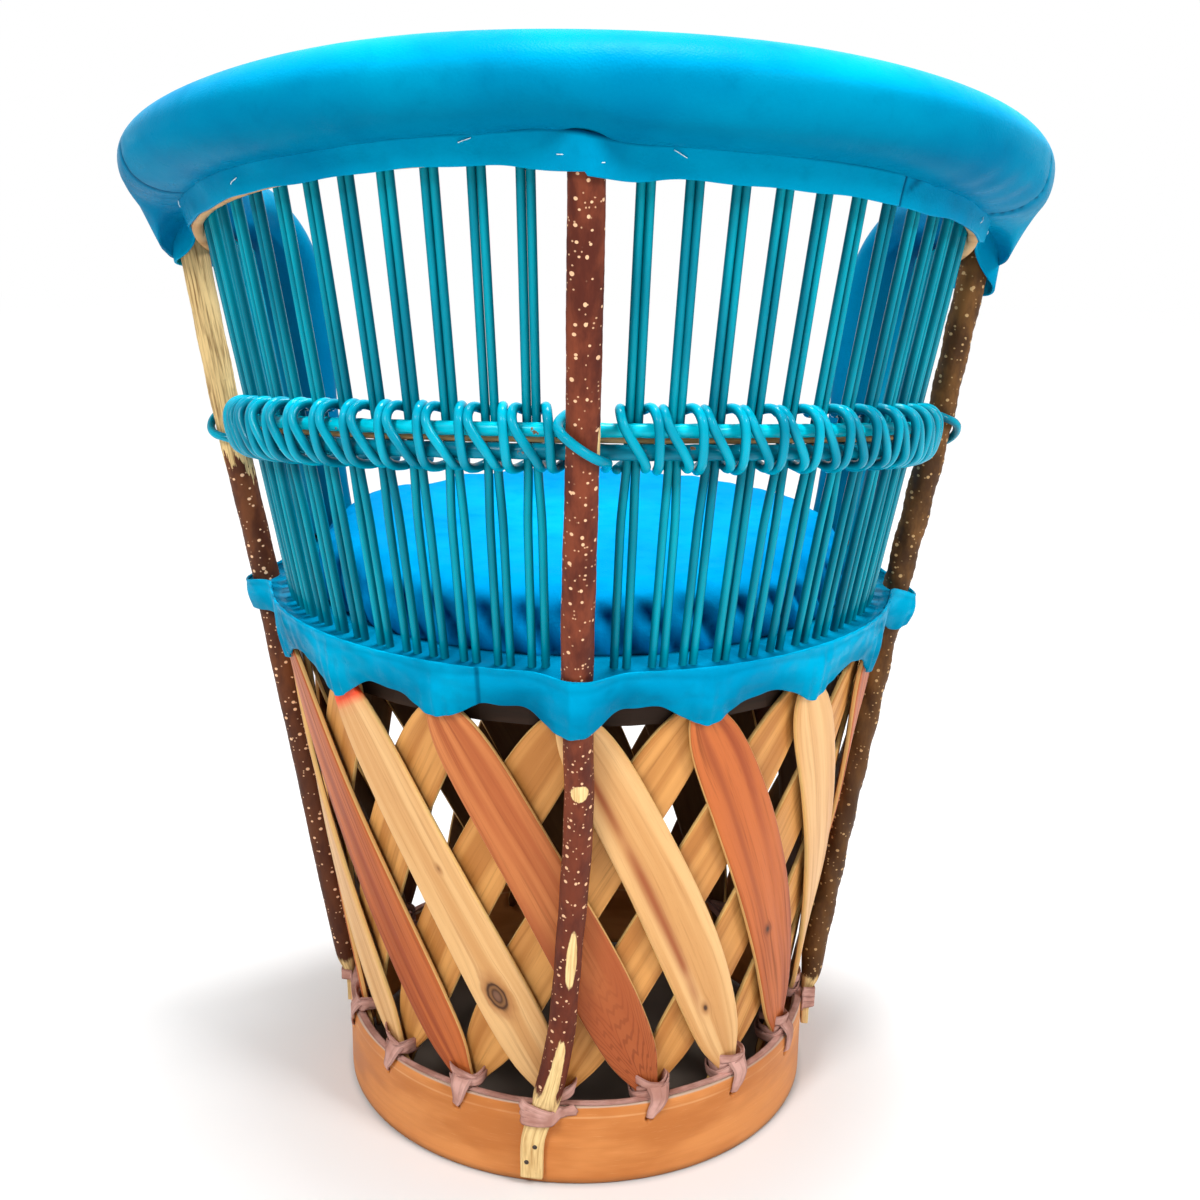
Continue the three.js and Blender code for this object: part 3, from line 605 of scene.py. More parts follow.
def slat_wood(name, light, dark, streak_colour, knots=(), heart=0.0, lined=0.35, foot=None):
    """knots are (metres from the slat's middle, metres up the slat, size) in the slat's map. heart
    is how strong the heartwood stripe is, lined how strong the fine lines are, and foot the colour
    that the slat turns to in its lower third. A knot is 1 at its middle and falls as the exponential
    of minus the squared distance over the size."""
    f = Finish(name, roughness=0.5, coat_weight=0.02, coat_roughness=0.4, specular_ior_level=0.16)
    v, board = f.split(f.along())[1], f.mark("board")
    across = f.mark("across") * (half_board * mm)
    wave = f.noise(f.joined(across * 30, v * 5, board), 1.0, 0.4, 3.0) - 0.5
    bent = across + wave * 0.010
    ovals = None
    wobble = (f.noise(f.joined(across * 160, v * 90, board), 2.0, 0.5, 5.0) - 0.5) * 0.9
    for side, up, size in knots:
        dx, dy = across - side, (v - up) * 0.55
        far = (dx * dx + dy * dy) / (size * size) * (wobble + 1.0)
        core = f.math("EXPONENT", far * -1.0)
        bent = bent - dx * core * 1.6
        core = core * min(1, 0.3 + size / 0.012)
        ovals = core if ovals is None else ovals + core
    grain = f.noise(f.joined(bent * 330, v * 7, board * 3.1), 3.0, 0.6, board)
    broad = f.noise(f.joined(bent * 75, v * 2.2, board * 1.7), 2.0, 0.5, board)
    fine = f.noise(f.joined(bent * 1400, v * 45, board), 2.0, 0.6, board)
    wood = f.blend(f.rise(broad, 0.35, 0.65), light, dark)
    wood = f.blend(f.rise(grain, 0.50, 0.72) * lined, wood, streak_colour)
    wood = f.blend(f.rise(fine, 0.55, 0.75) * 0.22, wood, streak_colour)
    if foot:
        flame = v + (broad - 0.5) * 0.16 - across * across * 160
        wood = f.blend((1 - f.rise(flame, 0.10, 0.21)) * 0.85, wood, foot)
        flame = f.rise(f.math("SINE", flame * 420.0), 0.2, 0.9)
        wood = f.blend(flame * (1 - f.rise(v, 0.05, 0.18)) * 0.6, wood, streak_colour)
    if heart:
        middle = (bent + 0.0085) * 300
        stripe = f.math("EXPONENT", middle * middle * -1.0)
        patchy = f.rise(f.noise(f.joined(0.0, v * 9, board * 2.3), 2.0, 0.6, board), 0.25, 0.5)
        wood = f.blend(stripe * patchy * f.rise(v, 0.08, 0.16) * heart, wood, paint(146, 70, 34))
    if ovals is not None:
        ringed = f.math("SINE", ovals * 22.0)
        wood = f.blend(f.rise(ovals, 0.04, 0.5) * 0.6, wood, streak_colour)
        wood = f.blend(f.rise(ovals, 0.42, 0.62) * (ringed * 0.2 + 0.75), wood, paint(62, 36, 24))
        wood = f.blend(f.rise(ovals, 0.88, 0.97) * 0.5, wood, paint(140, 100, 80))
    wood = f.blend(f.rise(f.mark("edge"), 0.4, 0.6) * 0.7, wood, paint(226, 186, 116))
    # painted shade: faces towards the drum's inside are darkened to dark brown
    wood = f.blend(f.rise(f.mark("inner_face_shade"), 0.4, 0.6) * 0.82, wood, paint(74, 44, 26))
    wood = f.blend(f.mark("painted"), wood, paint(232, 74, 34))
    f.set(base_color=wood, roughness=f.rise(grain, 0.3, 0.8) * 0.2 + 0.42)
    return f.bump(grain * 0.6 + fine * 0.4, 0.0003)


pale = paint(226, 180, 122), paint(204, 150, 92), paint(154, 96, 50)
red = paint(190, 102, 50), paint(148, 66, 30), paint(84, 34, 16)
gold = paint(212, 152, 84), paint(178, 116, 56), paint(122, 72, 32)
flame_brown = paint(208, 130, 74), paint(172, 92, 48), paint(118, 52, 26)
pale_slat = slat_wood("pale_slat_wood", *pale)
red_slat = slat_wood("red_slat_wood", *red, heart=0.5, lined=0.6)
gold_slat = slat_wood("golden_slat_wood", *gold)
knotted_pale = slat_wood("knotted_pale_wood", *pale, [(-0.003, 0.127, 0.0094), (0.006, 0.238, 0.003)])
hearted_pale = slat_wood("hearted_pale_wood", *pale, [(-0.005, 0.106, 0.0042)], heart=0.9)
flamed_pale = slat_wood("flamed_pale_wood", *flame_brown, lined=0.5, foot=paint(158, 78, 40))
knotted_red = slat_wood("knotted_red_wood", *red, [(-0.006, 0.165, 0.004)], heart=0.6, lined=0.6)
print("seven slat woods")

# %% [markdown]
# ## The crossed slats
#
# A slat is a straight-sided board with blunt points, flat across its width, which winds a little
# way round the drum's cone from its foot on the ring to its head under the seat. The outer layer
# leans one way and the inner layer the other. Its section is a rectangle with rounded edges, and
# its half width follows a table: nearly full all along, and quickly narrow at the two ends. The
# faces towards the drum's inside are painted dark brown, as painted shade for the drum's dark inside.

# %% Slats
board_shares = np.array(
    [(-1, 0.30), (-0.97, 0.08), (-0.9, 0), (-0.5, 0), (0, 0), (0.5, 0), (0.9, 0), (0.97, 0.08),
     (1, 0.30), (1, 0.70), (0.97, 0.92), (0.9, 1), (0.5, 1), (0, 1), (-0.5, 1), (-0.9, 1),
     (-0.97, 0.92), (-1, 0.70)]
)
slat_low, slat_high, slat_thick = 46, 402, 5
slat_widths = np.array(
    [(46, 6), (70, 6.5), (76, 8), (84, 12.5), (95, 17), (115, 20.5), (150, 22.6), (200, 23.5),
     (300, 23.5), (345, 22.8), (370, 20.5), (384, 17), (394, 12), (402, 7)]
)


def slat(point, lean, depth, seed):
    """The board's middle line runs from the foot angle at the ring to the head angle at the seat,
    linearly with height, at the slat cone's radius less depth. Across it the points lie on a flat
    board that is set in by the arc's sag, half the width squared over twice the radius."""
    share = np.linspace(0, 1, 56)
    share = share - 0.006 * np.sin(2 * np.pi * share)
    z = mix(slat_low, slat_high, share)
    foot, head = foot_angle(point + 2 * lean), head_angle(point)

    def line(z):
        return polar(mix(foot, head, up_cone(z)), slat_face(z) - depth, z)

    at, on = line(z), unit(line(z + 2) - line(z - 2))
    level = unit(np.stack([-at[:, 1], at[:, 0], 0 * z], -1))
    face = unit(np.cross(level, on))
    face *= np.sign((face * at * (1, 1, 0)).sum(-1))[:, None]
    over = np.cross(on, face)
    half = np.interp(z, *slat_widths.T)
    half = np.convolve(np.pad(half, 2, "edge"), np.ones(5) / 5, "valid")
    tip = np.minimum(share, 1 - share) / 0.03
    half = half * np.sqrt(np.clip(1 - (1 - np.minimum(tip, 1)) ** 2, 0.12, 1))
    rng = np.random.default_rng(seed)
    half = half * (1 + 0.03 * np.sin(share * 9 + rng.uniform(0, 6)))
    sag = half**2 / (2 * slat_face(z))
    thick = slat_thick * (0.96 - 0.3 * (1 - np.minimum(tip, 1)))
    a, b = board_shares.T
    lift = -sag[:, None] - b[None] * thick[:, None] - 0.15
    across = over[:, None] * (a[None] * half[:, None])[..., None]
    return at[:, None] + across + face[:, None] * lift[..., None]


edge_share = (np.abs(board_shares[:, 0]) > 0.99).astype(float)
# painted shade: 1 on the faces that look into the drum
inner_face_shade_share = (board_shares[:, 1] > 0.8).astype(float)
special = {14: knotted_pale, 15: flamed_pale, 0: hearted_pale, 1: knotted_red}
for point in range(16):
    label = f"{point + 1:02d}"
    outer_finish = special.get(point, red_slat if point % 2 else pale_slat)
    for layer, lean, depth, finish, slot in (
        ("outer", 1, 0, outer_finish, "slat_red" if point % 2 else "slat_pale"),
        ("inner", -1, 8, gold_slat, "slat_pale"),
    ):
        grid = slat(point, lean, depth, 100 * lean + point + 200)
        rows = np.linspace(0, 1, len(grid))[:, None]
        painted = ease((rows - 0.925) / 0.012) * (finish is knotted_pale)
        piece(
            f"{layer}_slat_{label}_board", [grid], finish, [f"{layer}_slat_{label}"],
            marks={
                "board": point * 1.37 + (layer == "inner") * 31,
                "across": board_shares[:, 0],
                "edge": edge_share,
                "inner_face_shade": inner_face_shade_share,
                "painted": painted,
            },
        )

# %% [markdown]
# ## Bark
#
# The posts are straight shoots with their bark on: dark red-brown, smooth, and dotted with small
# cream pores a few millimetres apart. Here and there the bark is nicked or peeled and the pale
# wood shows. The pores are the middles of scattered cells, each with its own size.


# %% Bark
def bark_finish(name, dark, light, peeled_from=None, bare_light=paint(236, 206, 146),
                bare_dark=paint(188, 142, 84), cream=paint(240, 192, 150)):
    """dark and light are the bark's two tones, peeled_from the height in metres above which it has
    been stripped off, the next two the tones of the wood under it, and cream the pores'."""
    f = Finish(name, roughness=0.55, specular_ior_level=0.14)
    spot, on = f.place(), f.along()
    z = f.split(spot)[2]
    skin = f.noise(f.scaled(spot, 60, 60, 26), 4.0, 0.6, 2.0)
    ridge = f.noise(f.scaled(on, 420, 60), 3.0, 0.6, 1.0)
    wood = f.blend(f.rise(skin, 0.35, 0.65), dark, light)
    low = 1 - f.rise(z, 0.25, 0.40)
    wood = f.blend(low * 0.45, wood, dark)
    wood = f.blend(f.rise(ridge, 0.55, 0.8) * 0.35, wood, dark)
    cell = f.scaled(f.shifted(on, (0.3, 0.7, 0)), 118, 128)
    pore = f.cells(cell, 1.0, flat=True)
    size = f.split(f.cells(cell, 1.0, "Color", flat=True))[0]
    dots = 1 - f.rise(pore - (size - 0.4) * 0.2, 0.03, 0.09)
    dots = dots * f.rise(size, 0.4, 0.44)
    fleck = f.scaled(on, 330, 360)
    tiny_size = f.split(f.cells(fleck, 1.0, "Color", flat=True))[1]
    specks = (1 - f.rise(f.cells(fleck, 1.0, flat=True), 0.12, 0.26)) * f.rise(tiny_size, 0.88, 0.91)
    wood = f.blend(dots * 0.92, wood, cream)
    wood = f.blend(specks * 0.7, wood, cream)
    bare = f.mark("bare") + (f.noise(f.scaled(on, 150, 40), 4.0, 0.7, 6.0) - 0.5) * 0.5
    if peeled_from:
        ragged = z + (f.noise(f.scaled(on, 120, 18), 4.0, 0.7, 3.0) - 0.5) * 0.12
        bare = bare + f.rise(ragged, peeled_from - 0.01, peeled_from + 0.01)
    bare = f.rise(bare, 0.42, 0.52)
    grain = f.noise(f.scaled(on, 600, 25), 3.0, 0.6, 5.0)
    under = f.blend(f.rise(grain, 0.4, 0.75), bare_light, bare_dark)
    stain = f.noise(f.scaled(on, 150, 14), 4.0, 0.65, 8.0)
    under = f.blend(f.rise(stain, 0.52, 0.66) * 0.6, under, bare_dark)
    wood = f.blend(bare, wood, under)
    f.set(base_color=wood, roughness=f.rise(skin, 0.3, 0.7) * 0.15 + 0.5)
    return f.bump(skin * 0.35 + ridge * 0.3 + dots * 0.25 - bare * 0.5, 0.0007)


bark = bark_finish("dark_bark", paint(80, 32, 20), paint(124, 60, 38))
stripped_bark = bark_finish(
    "half_stripped_bark", paint(70, 36, 22), paint(106, 60, 34), peeled_from=0.52,
    bare_light=paint(222, 190, 132), bare_dark=paint(120, 86, 46),
)
brown_bark = bark_finish("brown_bark", paint(70, 44, 22), paint(116, 78, 40), cream=paint(196, 158, 108))
print("three barks")

# %% [markdown]
# ## The posts
#
# Three posts run from the ring to the rim and two end under the arms. Each is whittled to a flat
# tongue where it is nailed to the ring and is round above it. A shoot is never quite straight or
# round, so its middle line wanders by up to a millimetre and a half and its section by a few
# tenths. Its stations give the height, angle, radius, half width and half depth.


# %% Posts
rear_stray, back_foot, side_foot = -5.0, 8, 38


def drum_stations(angle, turn, stray, foot):
    """The lower half of a post, from the tongue on the ring to the seat. turn is how many degrees
    its foot leans aside, stray how many more the tongue's end does, and foot that end's height."""
    tongue = ring_outer + gap + 3.2

    def fit(z):
        return slat_face(z) + gap + post_radius

    return [
        [foot, angle + turn + stray, tongue, 8.6, 3.2],
        [mix(foot, 67.7, 0.55), angle + 0.97 * turn + 0.97 * stray, tongue, 9, 3.4],
        [67.7, angle + 0.85 * turn + 0.62 * stray, tongue + 0.4, 9.4, 3.9],
        [84, angle + 0.75 * turn + 0.5 * stray, tongue + 4.2, 10.6, 8.4],
        [112, angle + 0.55 * turn + 0.36 * stray, fit(112), 10.4, 10.6],
        [150, angle + 0.42 * turn + 0.2 * stray, fit(150), 10.2, 10.6],
        [220, angle + 0.25 * turn + 0.1 * stray, fit(220), 9.8, 10.4],
        [330, angle, fit(330), 10.2, 10.6],
        [seat_top, angle, fit(seat_top), 10.6, 10.6],
    ]


def arm_stations(angle):
    """A post that stands upright and ends under the arm's leather."""
    end = [seat_base, angle, slat_face(seat_top) + gap + post_radius, 10.6, 10.6]
    return drum_stations(angle, 0, 0, back_foot) + [end]


def back_stations(angle, stray, foot):
    """A post that goes on outside the rods to the underside of the rim."""
    mid, top = middle_height(angle), top_height(angle) + hoop_height + gap
    at_mid = rod_ring(mid) + rod_thick + 2 * gap + post_radius
    at_top = hoop_face(top) + gap + post_radius
    low = drum_stations(angle, foot_turn, stray, foot)
    between = [mix(seat_top, mid, 0.5), angle, mix(low[-1][2], at_mid, 0.5), 10.7, 10.7]
    above = [mix(mid, top, 0.5), angle, mix(at_mid, at_top, 0.5), 10.8, 10.8]
    return low + [between, [mid, angle, at_mid, 10.7, 10.7], above, [top, angle, at_top, 11, 10.8]]


def post(stations, seed, ragged, bend=1.2):
    """Rings of the stick's section along its flowing middle line, with a slow wander of bend
    millimetres. The section is squarer at the tongue, where the power of the oval falls to 0.32.
    ragged is the share by which small scars and lumps change the radius."""
    rng = np.random.default_rng(seed)
    s = flowing(stations, 26)
    z, angle, radius, width, depth = s.T
    share = (z - z[0]) / (z[-1] - z[0])
    loose = ease((z - 84) / 80) * ease((z[-1] - z) / 60)
    phase = rng.uniform(0, 6, 4)
    slide = bend * loose * (np.sin(share * 7 + phase[0]) + 0.5 * np.sin(share * 17 + phase[1]))
    path = polar(angle + np.degrees(slide / radius), radius, z)
    on = unit(np.gradient(path, axis=0))
    out = square_to(polar(angle, 1, 0), on)
    side = np.cross(on, out)
    turn = circle(24) - np.pi / 2
    power = mix(0.32, 1.0, ease((z - 62) / 30))[:, None]
    up = share[:, None]
    knob = 1 + loose[:, None] * (
        0.025 * np.sin(3 * turn + 9 * up + phase[2])
        + 0.02 * np.sin(2 * turn - 23 * up + phase[3])
        + ragged * np.sin(2 * turn + 190 * up) * np.sin(turn - 283 * up + phase[1])
        + ragged * np.sin(3 * turn - 97 * up + phase[0])
    )
    across = squarish(np.cos(turn), power) * width[:, None] * knob
    deep = squarish(np.sin(turn), power) * depth[:, None] * knob
    grid = path[:, None] + side[:, None] * across[..., None] + out[:, None] * deep[..., None]
    return grid, z[:, None], turn[None]


def patches(z, turn, spots):
    """A mark of 1 inside each oval patch: spots are (height, turn from the post's outer face,
    half height, half turn)."""
    mark = 0 * z + 0 * turn
    for height, side, tall, wide in spots:
        far = np.hypot((z - height) / tall, (turn - np.pi / 2 + side) / wide)
        mark = np.maximum(mark, 1.25 - far * 0.75)
    return np.clip(mark, 0, 1)


rear_spots = [(25, 0, 58, 9), (350, 0.1, 6, 0.6), (212, 0.3, 24, 0.4), (98, 0.15, 42, 0.45),
              (125, 0.2, 16, 0.3), (592, 1.3, 13, 0.35)]
left_spots = [(45, 0, 34, 9), (200, -0.8, 30, 0.6)]
right_spots = [(45, 0, 34, 9), (500, 1.0, 25, 0.7), (170, 0.9, 12, 0.4), (200, 1.0, 8, 0.4)]
front_spots = [(25, 0, 50, 9)]
for name, stations, finish, seed, ragged, spots in (
    ("rear_post", back_stations(0, rear_stray, back_foot), bark, 3, 0.014, rear_spots),
    ("left_post", back_stations(-90, 0, side_foot), stripped_bark, 8, 0.014, left_spots),
    ("right_post", back_stations(90, 0, side_foot), brown_bark, 5, 0.045, right_spots),
    ("front_left_post", arm_stations(-leg_angle), bark, 11, 0.014, front_spots),
    ("front_right_post", arm_stations(leg_angle), brown_bark, 13, 0.014, front_spots),
):
    grid, z, turn = post(stations, seed, ragged)
    piece(f"{name}_stick", [grid], finish, [name], marks={"bare": patches(z, turn, spots)})

# %% [markdown]
# ## Rawhide ties
#
# At each lashing point a wet strip of rawhide is wound round the crossed feet of two slats, drawn
# down over the ring's edge to the hole, and dries hard. It is modelled as a few flat turns round
# an oval that holds both feet, each turn at its own height and tilt, and a pointed flap that goes
# down to the hole. Between the ties the strip lies along the ring's top edge.


# %% Rawhide
def rawhide_finish():
    f = Finish("rawhide", roughness=0.62, specular_ior_level=0.15)
    on, spot = f.along(), f.place()
    streak = f.noise(f.scaled(on, 300, 40), 4.0, 0.6, 1.0)
    cloud = f.noise(f.scaled(spot, 45, 45, 45), 3.0, 0.6, 3.0)
    skin = f.blend(f.rise(cloud, 0.35, 0.65), paint(170, 122, 108), paint(204, 158, 146))
    skin = f.blend(f.rise(streak, 0.5, 0.75) * 0.5, skin, paint(128, 84, 72))
    skin = f.blend(f.rise(f.mark("edge"), 0.4, 0.6) * 0.35, skin, paint(96, 60, 52))
    f.set(base_color=skin)
    return f.bump(streak * 0.6 + cloud * 0.4, 0.0005)


rawhide = rawhide_finish()
strap_shares = np.array(
    [(-1, 0), (-0.9, 0.8), (-0.5, 1), (0, 1), (0.5, 1), (0.9, 0.8), (1, 0), (0.9, -0.8), (0.5, -1),
     (0, -1), (-0.5, -1), (-0.9, -0.8)]
)
strap_edge = (np.abs(strap_shares[:, 0]) > 0.85).astype(float)


def strap(path, normal, width, thick, closed=False):
    """A flat strip along a path: its flat side faces the normal, width is across it. The width and
    thickness may be one number or one for each point."""
    on = np.roll(path, -1, 0) - np.roll(path, 1, 0) if closed else np.gradient(path, axis=0)
    on = unit(on)
    across = unit(np.cross(on, normal))
    out = np.cross(across, on)
    a, b = strap_shares.T
    half = np.broadcast_to(width, len(path))[:, None, None] / 2
    deep = np.broadcast_to(thick, len(path))[:, None, None] / 2
    return path[:, None] + across[:, None] * a[:, None] * half + out[:, None] * b[:, None] * deep


def tie(point, seed):
    """Turns round the two crossed feet: a squared oval in plan, 13 mm to each side and 10 deep,
    centred between the two layers of slats. Each turn tilts by a few millimetres, and lies on the
    last."""
    rng = np.random.default_rng(seed)
    angle, turn = foot_angle(point), circle(40)
    facing, sideways = polar(angle, 1, 0), polar(angle + 90, 1, 0)
    out = 13 * np.sin(turn)[:, None] * facing + 9 * np.cos(turn)[:, None] * sideways
    out = unit(unit(out) - (0, 0, 0.18))
    grids = []
    for level, tilt, swell, width in ((75, 2.5, 0, 11), (80, -4.5, 1.2, 8), (73.5, 5.0, 2.3, 8.5)):
        level, tilt = level + rng.uniform(-1, 1), tilt * rng.uniform(0.6, 1.4)
        side = (12.8 + swell * 0.8) * squarish(np.cos(turn), 0.7)
        deep = (9.0 + swell) * squarish(np.sin(turn), 0.7)
        z = level + tilt * np.cos(turn) + 0.8 * np.sin(3 * turn + seed)
        path = polar(angle + np.degrees(side / 190), slat_face(z) - 6.8 + deep, z)
        width = width * (1 + 0.12 * np.sin(2 * turn + seed))
        grids.append(strap(path, out, width, 1.7, closed=True))
    return grids


def flap_down(point, seed):
    """The pointed end: from the turns over the ring's edge, down its face and into the hole, its
    width falling from 20 mm to 3."""
    rng = np.random.default_rng(seed + 50)
    angle, lean = foot_angle(point), rng.uniform(-1.5, 2.5)
    stations = [
        [lean + 1.5, slat_face(80) + 2.0, 79],
        [lean + 1.0, 195.3, 72],
        [lean * 0.6, 196.2, 66],
        [-2, 195.8, 60],
        [-3.7, 194.9, 55],
        [-4, 190.6, 52.8],
    ]
    s = flowing(stations, 7)
    share = np.linspace(0, 1, len(s))
    turned = angle + np.degrees(s[:, 0] / ring_outer)
    path = polar(turned, s[:, 1], s[:, 2])
    return strap(path, polar(turned, 1, 0.35), mix(20, 3.2, share**0.8), 1.5)


print("a tie has three turns and a pointed flap")

# %% Ties round the ring
points_with_post = (0, 4, 12)
post_feet = [foot_angle(at) for at in (0, 4, -4)] + [-leg_angle, leg_angle]
strap_ring, foot_aside = 200, -3.6
turns, pointed = [], []
for point in range(16):
    turns += tie(point, point)
    if point not in points_with_post:
        pointed.append(flap_down(point, point))
turn = np.linspace(-1, 1, 40)
for angle in post_feet:
    aside = np.radians(foot_aside * (angle == foot_turn)) * strap_ring
    side = 20.5 * turn + aside * 0.35
    over = 9.4 * ease((16.5 - np.abs(side - aside)) / 7)
    for level, fall in ((66.5, -4.5), (61, 3.5), (64, -0.5)):
        z = level + fall * turn + 4 * turn**2
        path = polar(angle + np.degrees(side / strap_ring), ring_outer + 1 + over, z)
        pointed.append(strap(path, polar(angle + 14 * turn, 1, 0), 8.5, 1.6))
span = np.linspace(0.0, 1.0, 220, endpoint=False)
lying = polar(span * 360, 190 + 0.8 * np.sin(span * 60), 69.4)
turns.append(strap(lying, (0, 0, 1), 6.2, 1.4, closed=True))
edges = {"edge": strap_edge}
piece("rawhide_ties", turns, rawhide, ["base_lacing"], loop=True, marks=edges)
piece("rawhide_flaps", pointed, rawhide, marks=edges)

# %% [markdown]
# ## Turquoise leather
#
# The leather is dyed right through and waxed: even in colour, a little cloudy, with a fine pebble
# that only the highlights show. Seams are darker, and the same mark paints shade into creases. A
# second mark paints shade on the parts that face down or lie in shadow. Three variants share one
# recipe: the rim, the skirt and the brighter seat.


# %% Leather
def leather(name, light, dark, deep, gloss=0.3, shine=0.012, rumple=0.0):
    """gloss is the roughness, shine the strength of the reflection, and rumple the depth of the soft
    folds in metres, which also get painted shade."""
    pebble, relief = 650, 0.00022
    f = Finish(name, roughness=gloss, specular_ior_level=shine, specular_tint=paint(120, 235, 255))
    spot = f.place()
    cloud = f.noise(f.scaled(spot, 7, 7, 12), 3.0, 0.55, 1.0)
    mottle = f.noise(f.scaled(spot, 60, 60, 60), 4.0, 0.6, 2.0)
    jitter = f.scaled(f.joined(mottle, mottle, mottle), 0.002, 0.002, 0.002)
    grain = f.cells(f.shifted(spot, jitter), pebble)
    fine = f.noise(spot, seed=3.0, scale=1900)
    hide = f.blend(f.rise(cloud, 0.3, 0.7), dark, light)
    hide = f.blend(f.rise(mottle, 0.5, 0.8) * 0.14, hide, deep)
    # painted shade: the under mark darkens the leather towards its deep tone
    hide = f.blend(f.mark("under") * 0.42, hide, deep)
    # dark seams, and painted shade in creases: the cushion's pleat valleys and a fold of the flap
    hide = f.blend(f.mark("seam_and_crease_shade"), hide, deep)
    soft = f.noise(f.scaled(spot, 20, 20, 34), 2.0, 0.45, 7.0)
    # painted shade on the soft folds
    if rumple:
        hide = f.blend(f.rise(soft, 0.48, 0.72) * 0.42, hide, deep)
    f.set(base_color=hide, roughness=f.rise(mottle, 0.3, 0.75) * 0.14 + (gloss - 0.05))
    return f.bump(grain * 0.5 + fine * 0.2 + mottle * 0.5 + soft * (rumple / relief), relief)


rim_blue = paint(0, 150, 190), paint(0, 124, 168), paint(0, 50, 84)
skirt_blue = paint(0, 170, 212), paint(0, 140, 184), paint(0, 50, 80)
seat_blue = paint(0, 150, 206), paint(0, 124, 184), paint(0, 36, 80)
rim_leather = leather("rim_leather", *rim_blue, shine=0.007)
skirt_leather = leather("skirt_leather", *skirt_blue, rumple=0.02)
seat_leather = leather("seat_leather", *seat_blue, gloss=0.5, shine=0.002)
print("three leathers")

# %% [markdown]
# ## The padded rim
#
# A roll of padding lies on the top hoop and the leather is stretched over it. It goes round the
# back, drops over the arms and stands on the front posts as two short legs. Its path is a flowing
# curve through stations, and its section an oval that narrows down the legs. Fine puckers run up
# from the lower seam, and a sewn join crosses the roll at each arm. Over each side post the cover
# is drawn down in a wedge.

# %% Roll stations
turn_start = 105
roll_seat = hoop_height + 2 * cord_radius + 3 * gap


def roll_height(angle):
    return top_height(angle) + roll_seat + roll_rise


def roll_ring(z):
    return cord_ring(np.maximum(z - roll_rise, seat_base)) + cord_radius + 14


leg_shares = np.array(
    [(0.34, 0.04, 0.98), (0.68, 0.11, 0.94), (0.9, 0.22, 0.9), (0.99, 0.38, 0.84), (1, 0.6, 0.74),
     (1, 0.8, 0.68), (1, 0.985, 0.65)]
)
share, drop, width = leg_shares.T
leg_z = mix(roll_height(turn_start), seat_base + gap, drop)
leg_turn = mix(turn_start, leg_angle, share)
slim = ease(drop / 0.8)
leg = np.stack([leg_turn, leg_z, mix(roll_depth, 22, slim), roll_rise * width], -1)
back_turn = np.linspace(-turn_start, turn_start, 27)
back = np.stack([back_turn, roll_height(back_turn), 0 * back_turn + roll_depth,
                 0 * back_turn + roll_rise], -1)
stations = np.vstack([leg[::-1] * (-1, 1, 1, 1), back, leg])
print("roll stations:", len(stations))

# %% Roll
steps, join_turn, wedge_turn = 18, 64.3, 90
s = flowing(stations, steps)
roll_turn, roll_z, depth, width = s.T
path = polar(roll_turn, roll_ring(roll_z), roll_z)
run = so_far(np.linalg.norm(np.diff(path, axis=0), axis=1))
end = np.minimum(run, run[-1] - run)
round_end = np.sqrt(np.clip(1 - (1 - np.minimum(end / 9, 1)) ** 2, 0.35, 1))
depth, width = depth * round_end, width * round_end
on = np.gradient(path, axis=0)
on[:steps] = (0, 0, 1)
on[-steps:] = (0, 0, -1)
on = unit(on)
out = square_to(polar(roll_turn, 1, 0), on)
up = np.cross(out, on)
theta = circle(72)[None] + np.pi / 2
c, q = np.cos(theta), np.sin(theta)
turn_grid, run_grid = roll_turn[:, None], run[:, None]
underside = ease((-q - 0.1) / 0.6) * ease((c + 0.5) / 0.7)
pucker = underside * (
    0.45 * np.sin(run_grid / 5.3 + 2 * np.sin(run_grid / 37)) * ease(np.sin(run_grid / 61 + 1) + 0.4)
    + 0.5 * np.sin(run_grid / 23 + 3 * q)
)
swell = 0.6 * np.sin(run_grid / 90 + 1.5 * c) + 0.35 * np.sin(run_grid / 41 + 2.5 * q)
near_post = bell(turn_grid, 5) * ease((c + 0.2) / 0.8) * ease((-q + 0.3) / 0.8)
aside = np.abs(turn_grid)
seam_turn = join_turn + 1.5 * np.maximum(-q, 0) ** 1.5
join = bell(aside - seam_turn, 0.5) * ease((c + 0.1) / 0.2) * ease((0.25 - q) / 0.2)
stitched = np.where(turn_grid > 0, 0.55 + 0.45 * np.sign(np.sin(36 * theta)), 1.0)
proud = swell + pucker + 3.2 * near_post - 1.3 * join - 0.8
grid = path[:, None] + out[:, None] * (c * (depth[:, None] + proud))[..., None]
grid = grid + up[:, None] * (q * (width[:, None] + proud))[..., None]


def sag_right(angle):
    """Millimetres by which the cover's lower edge hangs deeper: most right of the rear post, and a
    little left of it."""
    right = 9 * ease((angle + 5) / 12) * (1 - ease((angle - 66) / 26))
    return right + 2.5 * ease((-angle - 3) / 10) * (1 - ease((-angle - 66) / 24))


lower = ease((0.25 - q) / 0.8) * ease((c + 0.7) / 0.7)
flat_back = 0.8 * np.sin(np.radians(2 * np.clip(turn_grid, -90, 90))) ** 2
grid[..., 2] -= sag_right(turn_grid) * lower + flat_back * ease((q + 0.6) / 1.2)
below = np.degrees(np.arctan2(-q, c))
drawn = bell(aside - wedge_turn, 11, 4) * ease(below / 15) * (1 - ease((below - 64) / 26))
line = np.clip((below - 8) / 56, 0, 1)
grid += out[:, None] * (drawn * (mix(37, 19, line) - c * depth[:, None]))[..., None]
grid[..., 2] += drawn * (mix(-7, -50, line) - q * width[:, None])
